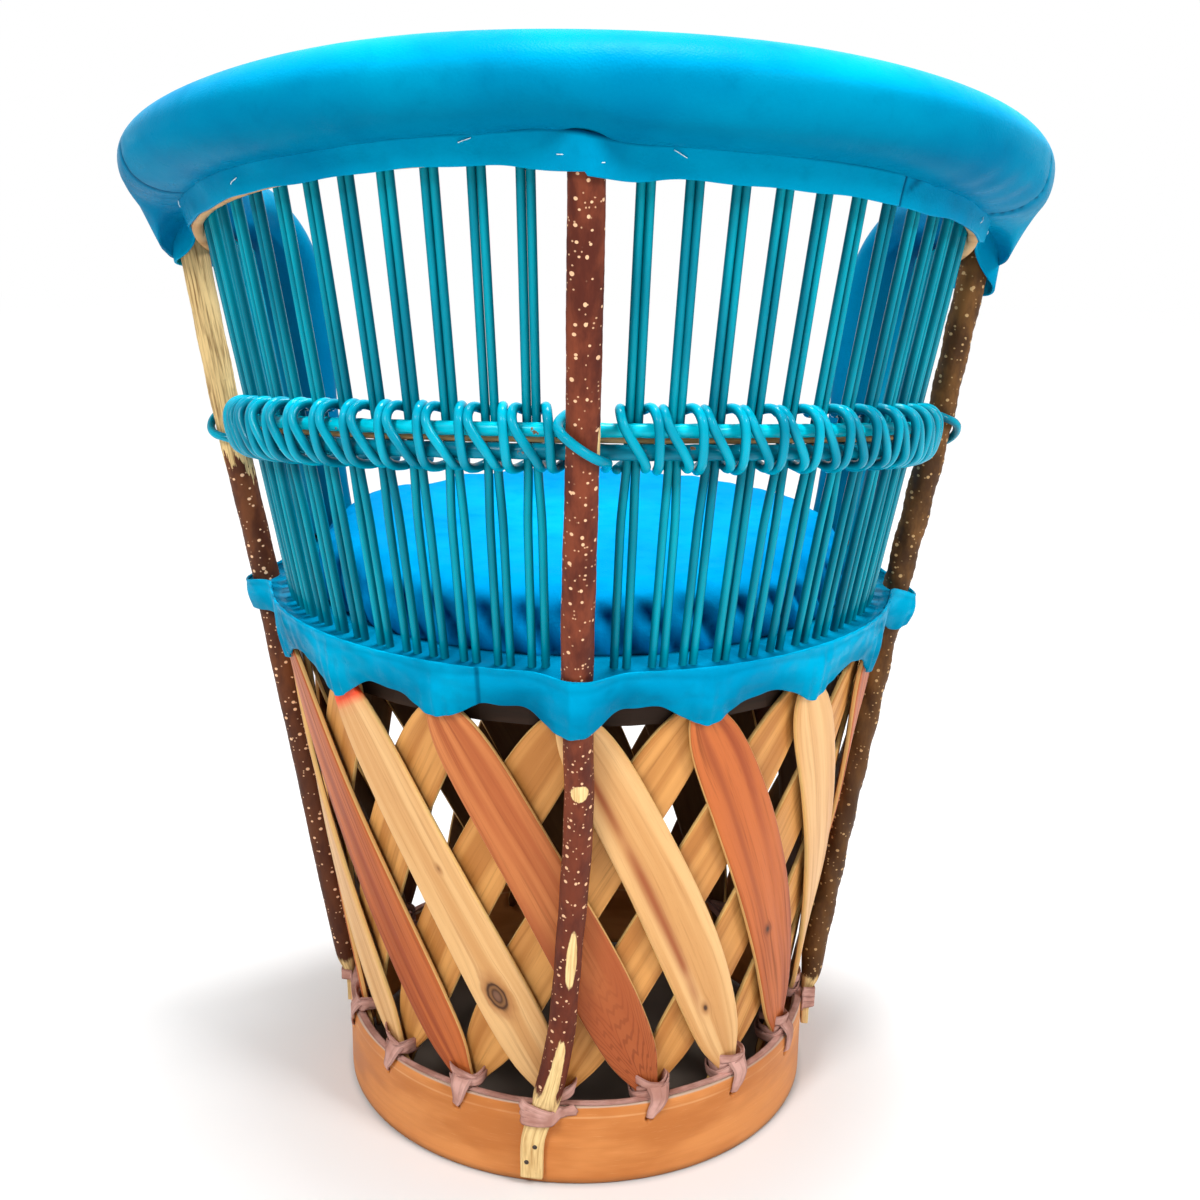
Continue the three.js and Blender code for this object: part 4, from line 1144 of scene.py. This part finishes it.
# painted shade: darker on the roll's lower side, less so away from the back's middle, and on the legs'
# faces that turn from the outside
low_side_shade = ease((0.62 - q) / 1.25) * (1 - 0.45 * ease((aside - 32) / 30))
in_shade = 1.1 * ease((aside - 94) / 9) * ease((0.7 - c) / 0.9)
roll = piece(
    "rim_roll_cover", [grid], rim_leather, ["rim_roll"],
    marks={
        "seam_and_crease_shade": np.clip(join * 0.9 * stitched, 0, 1),
        "under": low_side_shade * (c > -0.8) * (1 - 0.7 * drawn) + in_shade,
    },
)

# %% [markdown]
# ## The flap under the rim
#
# The rim's leather ends in a flap that comes down over the hoop and hides the cords' top loops.
# It rises over each post. It is one closed band: its section is a thin rectangle that leans out
# at the top to meet the roll, and its lower edge lifts at the sides, where the hoop's wood shows,
# and hangs down at its two ends over the side posts.

# %% Flap
band_shares = np.array(
    [(0, 0.5), (0.012, 0), (0.05, 0), (0.15, 0), (0.3, 0), (0.45, 0), (0.6, 0), (0.75, 0), (0.84, 0),
     (0.9, 0), (0.95, 0), (0.985, 0), (1, 0.5), (0.985, 1), (0.9, 1), (0.6, 1), (0.3, 1), (0.05, 1),
     (0.012, 1)]
)
t, inner = band_shares.T[:, None]
band_thick, flap_rise, flap_lap, hang_turn = 2.3, 21, 39.8, 91.5


def flap_top(angle):
    """Height of the flap's upper edge."""
    return top_height(angle) + flap_rise - 0.9 * sag_right(angle)


def flap_face(angle, plain, t):
    """Radius of the flap's inner face at share t of its height, where the hoop's face is at plain.
    It leans out to meet the roll by the share squared, and bulges by half a sine wave."""
    face = over_post(angle, plain, plain + gap + post_radius, 19) + gap
    return face + 5.5 * t**2 + 1.1 * np.sin(np.pi * np.clip(t, 0, 1))


angle = np.linspace(-104, 104, 760)[:, None]
far, right = np.abs(angle), angle > 0
lift = 7.5 * ease((far - 68) / 12) * (1 - ease((far - 84) / 4))
hang = np.where(right, 25, 9) * bell(far - hang_turn, 5.5)
ripple = 0.5 * np.sin(angle * 0.23) + 0.35 * np.sin(angle * 0.61 + 1)
dip = 3.5 * bell(angle, 7.5, 4)
deeper = sag_right(angle) * np.where(right, 0.85 - 0.25 * ease((angle - 42) / 12), 0.2)
low_edge = top_height(angle) - gap + lift - hang + ripple + 0.3 - dip - deeper
drape = 0.45 * np.sin(angle * 0.37 + 3 * t) + 0.25 * np.sin(angle * 0.9 + 2 * t)
off_lap = angle - flap_lap
lap = 2.2 * ease((off_lap + 0.2) / -0.5) * ease((off_lap + 8.8) / 8) + 1.2 * bell(off_lap + 1.8, 1.2) * t
crease = 0.95 * ease((t - 0.86) / 0.08)
lap_line = bell(off_lap, 0.25) * 0.9
# painted shade: the fold beside the lap is darkened along with the seams
above = t - 0.4
fold = bell(off_lap - 0.7 - 3.4 * above, 0.25 + 1.3 * np.maximum(above, 0)) * ease((t - 0.38) / 0.15)
radius = flap_face(angle, hoop_face(top_height(angle) + 9), t) + drape + lap + band_thick * (1 - inner)
flap = piece(
    "rim_flap_leather", [polar(angle, radius, mix(low_edge, flap_top(angle), t))],
    rim_leather, ["rim_flap"],
    marks={"seam_and_crease_shade": np.clip(crease + lap_line + 0.6 * fold * (off_lap > 0.2), 0, 1)},
)

# %% [markdown]
# ## The skirt round the seat
#
# A leather band is laced round the seat hoop and drawn to a soft point over each pair of crossed
# slats. Its lower edge follows a cosine from point to point, raised to a power that makes the
# points narrower than the bays. Each point stands a little proud, with fine folds running up from
# it. The two ends of the band lap at the back, left of the post. At the top the leather goes in over
# the hoop, as a shelf that rises to the cushion's foot.

# %% Skirt
skirt_top, skirt_thick, skirt_lap = 432, 2.1, -16.2


def by_rear_post(angle):
    """1 at the rear post, and down to 0 within some 15 degrees."""
    return bell(angle, 7)


def by_side_posts(angle):
    """1 at the two side posts, and down to 0 within some 10 degrees."""
    return bell(np.abs(angle) - 90, 5)


def skirt_edge(angle):
    """Height of the skirt's top edge: level, a little up at the rear post and down at the others."""
    return skirt_top + 1.5 * by_rear_post(angle) - (8 + 6 * (angle > 0)) * by_side_posts(angle)


angle = np.linspace(-180, 180, 1100, endpoint=False)[:, None]
phase = (angle - head_turn) / point_angle
off_point = phase - np.round(phase)
near = 1 - 2 * np.abs(off_point)
odd = np.sin(np.round(phase) * 2.4 + 0.8)
soft_point = (0.5 + 0.5 * np.cos(2 * np.pi * phase)) ** 1.7
at_side = by_side_posts(angle)
drop = 27 + (18 + 3 * odd) * soft_point * (1 - 0.8 * at_side) + 0.8 * np.sin(angle * 0.9)
drop = drop - 5 * by_rear_post(angle) + 10 * at_side * (angle > 0)
plain = slat_face(mix(skirt_top - drop, skirt_top, t)) + gap
face = over_post(angle, plain, plain + post_radius, 22) + gap
z = mix(skirt_top - drop, skirt_edge(angle), t)
away = np.radians(off_point * point_angle) * head_radius
fold = 0.9 * np.cos(away * 0.62 + 0.5 * odd) * bell(away, 17) * (1 - t) ** 0.7
point_swell = 3.0 * near**3 * np.sin(np.pi * (1 - t)) + 0.8 * near**4 * (1 - t)
slack = 0.3 * np.sin(angle * 0.21 + 2 * t) + 0.18 * np.sin(angle * 1.7 + 5 * t)
off_lap = angle - skirt_lap
lap = 1.5 * ease((off_lap + 0.2) / -0.35) * (1 - ease((-off_lap - 0.2) / 14))
hem = 0.7 * bell(t - 0.97, 0.05)
radius = face + fold + point_swell + slack + lap + hem + skirt_thick * (1 - inner)
lap_line = bell(off_lap, 0.22)
hem_line = bell(t - 0.86, 0.035) * 0.25

shelf_section = np.array(
    [(0, 430.6), (0.2, 428.6), (0.42, 429.4), (0.6, 431.8), (1, 430.6), (1, 425.5), (0.7, 425.3),
     (0.45, 425.2), (0.2, 425.8), (0, 429.2)]
)
crest_share, shelf_inside = 0.6, 204
inward, shelf_z = shelf_section.T[:, None]
around = np.linspace(-180, 180, 360, endpoint=False)[:, None]
shelf_z = shelf_z + (skirt_edge(around) - skirt_top) * np.clip(1 - inward / crest_share, 0, 1)
outside = slat_face(430.6) + gap
outside = over_post(around, outside, outside + post_radius, 22) + gap + 0.7
shelf = polar(around, mix(outside, shelf_inside, inward), shelf_z)
skirt = piece(
    "seat_skirt_leather", [polar(angle, radius, z), shelf], skirt_leather, ["seat_skirt"],
    loop=True, marks={
        "seam_and_crease_shade": [np.clip(lap_line + hem_line, 0, 1), 0.5],
        # painted shade: darker towards the skirt's lower edge, less at the points, and on the shelf under
        # the cushion
        "under": [1.15 * ease((0.85 - t) / 0.8) * (1 - 0.45 * near**2), 0.6],
    },
)

# %% [markdown]
# ## The seat cushion
#
# The seat is a round leather cushion whose side is gathered into slanting pleats under the rim.
# Padded leather bulges where it can and stays flat where it lies, so its shape is blown up with a
# short cloth simulation. A slightly small cushion gets an even mesh and some pressure, and no point
# may move more than 9 mm. The pleats are pressed in afterwards, because the even mesh would wipe
# them out.

# %% Cushion before it is blown up
cushion_radius = 219
lay = np.linspace(0, 1, 13)
side_r = cushion_radius - 24 * (1 - np.cos(lay * np.pi / 2)) * lay
side_z = 3 + 43 * np.sin(lay * np.pi / 2)
top_share = np.array([0.93, 0.8, 0.65, 0.5, 0.35, 0.2, 0.08])
top_r, top_z = 194 * top_share, 46 + 4.5 * (1 - top_share**2)
low_share = np.array([0.02, 0.3, 0.6, 0.85, 1.005])
profile_r = np.concatenate([214 * low_share, side_r, top_r, [0.5]])
profile_z = np.concatenate([0 * low_share + 0.6, side_z, top_z, [50.6]])
columns = np.linspace(0, 360, 96, endpoint=False)
plan = polar(columns[None], profile_r[:, None], seat_base + profile_z[:, None])
cushion = piece("seat_cushion_cover", [plan], seat_leather, ["seat_cushion"])


def as_array(mesh):
    points = np.empty(len(mesh.vertices) * 3, np.float32)
    mesh.vertices.foreach_get("co", points)
    return points.reshape(-1, 3).astype(float)


# %% Blow it up
def blown_up(made, pressure=4.0, frames=20, most=0.009):
    """Gives an even mesh of the piece and its points after the cloth solver's frames, with no
    point moved by more than most, in metres."""
    copy = made.copy()
    copy.data = made.data.copy()
    copy.parent = None
    bpy.context.scene.collection.objects.link(copy)
    bpy.context.view_layer.objects.active = copy
    remesh = copy.modifiers.new("even", "REMESH")
    remesh.mode, remesh.voxel_size = "VOXEL", 0.0055
    bpy.ops.object.select_all(action="DESELECT")
    copy.select_set(True)
    bpy.ops.object.modifier_apply(modifier="even")
    start = as_array(copy.data)
    cloth = copy.modifiers.new("blow", "CLOTH")
    cloth.settings.use_pressure = True
    cloth.settings.uniform_pressure_force = pressure
    cloth.settings.effector_weights.gravity = 0
    for now in range(1, frames + 1):
        bpy.context.scene.frame_set(now)
    ready = copy.evaluated_get(bpy.context.evaluated_depsgraph_get())
    end = as_array(ready.data)
    copy.modifiers.clear()
    bpy.context.scene.frame_set(1)
    moved = end - start
    length = np.linalg.norm(moved, axis=1, keepdims=True)
    start = start + moved * np.minimum(1, most / np.maximum(length, 1e-9))
    mesh = copy.data
    bpy.data.objects.remove(copy)
    return mesh, start


mesh, points = blown_up(cushion)
print("cushion:", len(points), "points, grown to", np.round(np.abs(points).max(0), 4))

# %% Press in the pleats
p = points / mm - (0, middle_y, 0)
radius, turn = np.hypot(p[:, 0], p[:, 1]), np.arctan2(p[:, 0], -p[:, 1])
z = p[:, 2] - seat_base
on_side = ease((radius - 193) / 18)
slant = turn * 21 + (z - 20) * 0.075 + 0.5 * np.sin(turn * 7)
pleat = np.abs(np.sin(slant)) ** 0.62
sharp = on_side * ease((52 - z) / 26) * (0.3 + 0.7 * ease(z / 10))
radius = radius - 10.5 * sharp * (1 - pleat) - 0.8 * on_side * np.sin(turn * 13 + z * 0.1)
radius = np.minimum(radius, cushion_radius + 3)
z = np.clip(z + 0.7 * np.sin(turn * 5 + radius * 0.03) * ease(z / 20), 0.2, 54)
# painted shade in the pleat valleys
seam_and_crease_shade = 1.1 * sharp * (1 - pleat) ** 1.3
pressed = np.stack([radius * np.sin(turn), -radius * np.cos(turn), z + seat_base], -1)
mesh.vertices.foreach_set("co", ((pressed + (0, middle_y, 0)) * mm).ravel())
# painted shade: a dark band on the side's shoulder, the pleat valleys, and a ring round the edge of the
# top
shoulder = ease((z - 24) / 12) * ease((50 - z) / 6)
shade = 1.3 * on_side * (1.3 * ease((44 - z) / 10) * (1 - pleat) ** 0.8 + 0.9 * shoulder)
add_mark(mesh, "seam_and_crease_shade", np.clip(seam_and_crease_shade, 0, 1))
add_mark(mesh, "under", shade + 0.39 * (1 - on_side) * ease((radius - 130) / 50))
mesh.polygons.foreach_set("use_smooth", np.full(len(mesh.polygons), True))
mesh.update()
cushion.data = mesh
finer = cushion.modifiers.new("smooth", "SUBSURF")
finer.levels = finer.render_levels = 1
print("pleats pressed:", len(mesh.vertices), "points")

# %% [markdown]
# ## Bare wood hoops and painted rods
#
# The top hoop is plain bent wood, and so are the seat hoop and its panel, which are painted nearly
# black as painted shade for the drum's dark inside. Between the rim and the seat two sticks go round
# outside the cords, painted the colour of the cords, the upper one lighter as painted light and the
# lower one darker as painted shade. The paint has worn off here and there and shows brown wood.


# %% Hoop wood and rod paint
def hoop_wood():
    f = Finish("hoop_wood", roughness=0.6, specular_ior_level=0.15)
    spot = f.place()
    streak = f.noise(f.scaled(spot, 22, 22, 320), 4.0, 0.6, 1.0)
    cloud = f.noise(f.scaled(spot, 12, 12, 40), 2.0, 0.5, 2.0)
    wood = f.blend(f.rise(cloud, 0.35, 0.65), paint(186, 138, 88), paint(218, 174, 122))
    wood = f.blend(f.rise(streak, 0.5, 0.75) * 0.6, wood, paint(128, 84, 48))
    f.set(base_color=wood)
    return f.bump(streak, 0.0003)


def rod_paint(name, dark, light):
    f = Finish(name, roughness=0.26, specular_ior_level=0.12)
    spot, on = f.place(), f.along()
    chip = f.noise(f.scaled(spot, 70, 70, 70), 4.0, 0.65, 2.0)
    streak = f.noise(f.scaled(on, 120, 20), 3.0, 0.6, 1.0)
    coat = f.blend(f.rise(streak, 0.3, 0.7), dark, light)
    coat = f.blend(f.rise(chip, 0.64, 0.68), coat, paint(128, 92, 60))
    f.set(base_color=coat)
    return f.bump(streak, 0.0004)


hoop_finish = hoop_wood()
# painted light and shade: the upper rod's paint is lighter, and the lower rod's darker for the shadow of
# the upper one
lit_rod_paint = rod_paint("painted_rod", paint(0, 182, 208), paint(0, 212, 236))
shaded_rod_paint = rod_paint("shaded_painted_rod", paint(0, 106, 130), paint(0, 136, 162))
# painted shade: the seat hoop and panel are nearly black, standing for the drum's shade
hoop_shade_paint = Finish("shaded_hoop_wood", roughness=0.7, specular_ior_level=0.2)
grain = hoop_shade_paint.noise(hoop_shade_paint.scaled(hoop_shade_paint.place(), 22, 22, 320), 4.0, 0.6, 1.0)
hoop_shade_paint.set(base_color=hoop_shade_paint.blend(grain, paint(30, 19, 12), paint(58, 38, 25)))
for name in ("seat_hoop", "seat_panel"):
    for holder in nodes[name].material_slots:
        holder.material = hoop_shade_paint.material
print("hoops and rods")

# %% Top hoop and rods
angle = np.linspace(-104, 104, 300)[:, None]
middle = top_height(angle) + hoop_height / 2
hoop_z = middle + 5.9 * strap_shares[:, 0]
hoop_r = hoop_face(middle) - hoop_thick / 2 + 3.9 * strap_shares[:, 1]
piece("top_hoop_strip", [polar(angle, hoop_r, hoop_z)], hoop_finish, ["top_hoop"])

turn = np.linspace(-112, 112, 420)
for name, rise, thick, inset, coat in (
    ("mid_hoop_upper", 7, 4.5, 1.2, lit_rod_paint),
    ("mid_hoop_lower", -7, 5.2, 0, shaded_rod_paint),
):
    z = middle_height(turn) + rise
    path = polar(turn, rod_ring(z) - inset, z)
    lump = 1 + 0.03 * np.sin(turn * 0.9) + 0.02 * np.sin(turn * 2.9 + 1)
    grid = carried(path, polar(turn, 1, 0), thick * lump, thick * lump, 14)
    piece(f"{name}_rod", [grid], coat, [name])
z = middle_height(turn)
path = polar(turn, rod_ring(z) - 2.6, z + 0.4 + 0.2 * np.sin(turn * 0.5))
slip = carried(path, polar(turn, 1, 0), 2.1, 1.3, 8)
piece("bare_slip_between_rods", [slip], hoop_finish)

# %% [markdown]
# ## Plastic cord
#
# The back is woven from a hollow plastic cord, teal and glossy. It is a little darker on some
# strands than on others and has faint lengthwise lines from the die it was drawn through.


# %% Plastic
def plastic(name, light, dark, deep, shine):
    """deep is the tone of painted shade on the flanks, where a strand lies against the next."""
    f = Finish(name, roughness=0.16, specular_ior_level=shine)
    cloud = f.noise(f.scaled(f.place(), 40, 40, 4), 2.0, 0.5, 1.0)
    lines = f.noise(f.scaled(f.along(), 1500, 8), 2.0, 0.5, 2.0)
    skin = f.blend(f.rise(cloud, 0.3, 0.7), dark, light)
    skin = f.blend(f.rise(lines, 0.5, 0.8) * 0.25, skin, dark)
    # painted shade on the flanks and undersides, where strands lie against each other and the rods
    skin = f.blend(f.mark("flank_shade") * 0.62, skin, deep)
    f.set(base_color=skin, roughness=lines * 0.1 + 0.1)
    return f.bump(lines, 0.00012)


web_plastic = plastic("web_cord", paint(0, 158, 178), paint(0, 120, 142), paint(0, 46, 60), 0.06)
wrap_plastic = plastic("wrapping_cord", paint(0, 164, 190), paint(0, 128, 154), paint(0, 40, 58), 0.1)
print("two plastics")

# %% [markdown]
# ## The cord web
#
# The cord runs up from the seat hoop, turns over the top hoop in a tight loop and comes down
# beside itself, and so on round the back: 14 pairs on each side of the rear post, and two more in
# front of each side post. Each pair is one hairpin with a round section.


# %% Hairpins
cord_sides, half_pair, web_foot = 12, 2.95, 404


def hairpin(angle, seed):
    """The strand rises on the cord cone, half a pitch to one side, turns over the hoop on a half
    circle and comes down half a pitch to the other side. Below the rods the two legs spread by a
    millimetre or two, where the wrapping has pushed them apart."""
    rng = np.random.default_rng(seed)
    share = np.linspace(0, 1, 34)
    top = top_height(angle) + hoop_height + gap
    z = mix(web_foot, top, share)
    spread = rng.uniform(0.3, 1.9) * ease((middle_height(angle) - 14 - z) / 50)
    bow = rng.uniform(-0.3, 0.3, 2)
    slip = rng.uniform(-1.2, 1.2) * ease((middle_height(angle) - z) / 60)

    def leg_at(sign, which):
        side = sign * (half_pair + spread) + bow[which] * np.sin(np.pi * share) + slip
        return polar(angle + np.degrees(side / cord_ring(z)), cord_ring(z), z)

    bend = np.linspace(0, np.pi, 12)[1:-1]
    reach = cord_radius + gap + hoop_thick / 2
    radius = cord_ring(top) + reach * np.sin(bend)
    height = top + (cord_radius + gap) * np.sin(bend) ** 0.6
    side = np.cos(bend) * -half_pair
    over = polar(angle + np.degrees(side / cord_ring(top)), radius, height)
    path = np.vstack([leg_at(-1, 0), over, leg_at(1, 1)[::-1]])
    on = unit(np.gradient(path, axis=0))
    across = np.cross(on, polar(angle, 1, 0))
    weak = np.linalg.norm(across, axis=1) < 0.4
    across[weak] = np.cross(on[weak], (0, 0, 1))
    return carried(path, across, cord_radius + 0.15, cord_radius + 0.15, cord_sides)


sector = np.linspace(7, 83, 14)
side_pairs = 96.5 + np.array([0, sector[1] - sector[0]])
groups = {
    f"rear_{side}_cords_{number}": sign * part
    for side, sign in (("right", 1), ("left", -1))
    for number, part in enumerate((sector[:5], sector[5:9], sector[9:]), 1)
}
groups |= {"right_side_cords": side_pairs, "left_side_cords": -side_pairs}
# painted shade on the strand's flanks
flank_shade = np.abs(np.cos(circle(cord_sides))) ** 1.6
for number, (name, angles) in enumerate(groups.items()):
    grids = [hairpin(a, 40 * number + n) for n, a in enumerate(angles)]
    piece(f"{name}_strands", grids, web_plastic, [name], marks={"flank_shade": flank_shade})

# %% [markdown]
# ## The wrapping of the rods
#
# One cord binds the rods to the pairs. Beside each pair it comes from behind on the left, crosses
# the front of both rods slantwise, passes behind the pair below them and comes up again on the
# right, nearly straight. At the posts it makes one slanting turn over the bark. The route is a
# table of places in shares: across in cord pitches, up in heights of the stack, out in depths.

# %% Wrapping
reach_up, reach_down, reach_in, reach_out = 14.1, 15.6, 14.5, 8.6
loop_shares = np.array(
    [(-1.7, -1.3, -0.57), (-0.8, -1.15, -1.08), (0.8, -1.0, -1.08), (1.3, -1.05, -0.57),
     (1.05, -1.12, 0.35), (0.8, -0.72, 1.12), (-1.35, 0.72, 1.12), (-1.66, 1.35, 0.25),
     (-1.55, 1.45, -0.5), (-0.8, 1.15, -1.08), (0.8, 1.2, -1.08), (1.5, 1.5, -0.5),
     (1.75, 1.4, 0.3), (2.0, 0.72, 1.12), (2.2, -0.72, 1.12), (2.3, -1.15, 0.35)]
)
tie_shares = np.array(
    [(-0.75, -0.85, -1.1), (-0.75, 0.92, -1.1), (-0.72, 1.2, 0), (-0.92, 1.12, 0.95),
     (-1.04, 0.9, 2), (-0.74, 0.6, 3.32), (0, 0, 3.8), (0.72, -0.45, 3.32), (1.02, -0.64, 2),
     (1.02, -0.96, 0.93), (1.02, -1.12, 0)]
)


def beside_rods(angle, across, up, out):
    """The cord's place and the middle of the stack beside it, from across in mm along the rods, up
    in shares of the stack's reach, and out in mm from the rods' middle."""
    place = angle + np.degrees(across / rod_ring(middle_height(angle)))
    middle = middle_height(place)
    z = middle + up * np.where(up > 0, reach_up, reach_down)
    return polar(place, rod_ring(z) + out, z), polar(place, rod_ring(middle), middle)


def wrapping(angles, tied_post):
    """The route round each pair, then round the tied post if there is one, is made flowing, cut
    into even steps and smoothed three times, each point to the mean of itself and two neighbours
    on both sides."""
    ways, cores = [], []
    for angle in angles:
        across, up, out = loop_shares.T
        deep = out * np.where(out < 0, reach_in, reach_out)
        way, core = beside_rods(angle, across * cord_pitch, up, deep)
        ways.append(way)
        cores.append(core)
    if tied_post is not None:
        across, up, out = tie_shares.T
        way, core = beside_rods(tied_post, across * reach_up, up, out * reach_out)
        ways.append(way)
        cores.append(core + (way - core) * (out > 1.5)[:, None] * 0.6)
    both = flowing(np.hstack([np.vstack(ways), np.vstack(cores)]), 10)
    run = so_far(np.linalg.norm(np.diff(both[:, :3], axis=0), axis=1))
    even = np.arange(0, run[-1], 1.5)
    both = np.stack([np.interp(even, run, column) for column in both.T], -1)
    for _ in range(3):
        both[2:-2] = (both[:-4] + both[1:-3] + both[2:-2] + both[3:-1] + both[4:]) / 5
    way, core = both[:, :3], both[:, 3:]
    return carried(way, way - core, lashing_radius + 0.6, lashing_radius + 0.6, cord_sides)


# painted shade on the wrapping's side that lies against the rods and pairs
underside_shade = 1.2 * ease((0.9 - np.cos(circle(cord_sides))) / 1.35)
for name, angles, tied_post in (
    ("left_side_lashing", -side_pairs[::-1], -90),
    ("rear_left_lashing", -sector[::-1], 0),
    ("rear_right_lashing", sector, 90),
    ("right_side_lashing", side_pairs, None),
):
    cord = [wrapping(angles, tied_post)]
    piece(f"{name}_cord", cord, wrap_plastic, [name], marks={"flank_shade": underside_shade})

# %% [markdown]
# ## Nails and loose thread
#
# Small things make a hand-made chair believable: two nails through the rear and the front posts'
# tongues and one through each side post's, and a few ends of white thread left in the rim's seam.

# %% Nails
iron = Finish("dull_iron", roughness=0.5, metallic=0.8)
rust = iron.noise(iron.place(), 3.0, 0.6, 1.0, scale=700)
iron.set(base_color=iron.blend(rust, paint(52, 44, 40), paint(96, 84, 76)))
nail_ring, nail_radius = 200, 1.9
head_section = np.array([(0.2, -1.5), (0.8, -1.5), (1, 0.1), (0.86, 0.55), (0.45, 0.75), (0.1, 0.8)])
rear_foot = foot_turn + rear_stray
nail_places = [(rear_foot, -3.5, 22), (rear_foot + 0.1, 2.5, 36)]
nail_places += [(foot_angle(at), 0.5, 49) for at in (-4, 4)]
nail_places += [(at, across, z) for at in (-leg_angle, leg_angle) for across, z in ((-2.6, 31), (3, 43))]
wide, high = nail_radius * head_section[:, 0, None, None], head_section[:, 1, None, None]
turn = circle(12)[:, None]
heads = []
for angle, across, height in nail_places:
    turned = angle + np.degrees(across / nail_ring)
    centre = polar(turned, ring_outer + gap + 6.5, height)
    side, out = polar(turned + 90, 1, 0), polar(turned, 1, 0)
    ring = side * np.cos(turn) + (0, 0, 1) * np.sin(turn)
    heads.append(centre + wide * ring + high * out)
piece("post_nails", heads, iron)

# %% Thread
cotton = Finish("white_thread", roughness=0.8)
cloud = cotton.noise(cotton.place(), scale=900)
cotton.set(base_color=cotton.blend(cloud, paint(236, 240, 240), paint(200, 224, 230)))
thread_radius = 0.32
step = np.linspace(0, 1, 9)
ends = []
for angle, drop, length, tilt in (
    (-70, 3, 7, 1.2), (-47, 10, 9, 0.5), (-13, 5, 8, 0.35), (10, 6, 9, -0.5), (36, 8, 6, 0.3),
    (63, 9, 6, 0.7), (81, 6, 5, -1.0), (-2.6, 15, 4, 0), (1.8, 15, 4, 0),
):
    across = length * np.cos(tilt) * (step - 0.5)
    rise = length * np.sin(tilt) * (step - 0.5) - drop
    plain = hoop_face(top_height(angle) + 9)
    turned = angle + np.degrees(across / plain)
    skin = flap_face(turned, plain, 1 + rise / flap_rise) + band_thick
    path = polar(turned, skin + 0.5 + 0.5 * np.sin(step * 5), flap_top(angle) + rise)
    ends.append(carried(path, polar(turned, 1, 0), thread_radius, thread_radius, 6))
piece("thread_ends", ends, cotton)
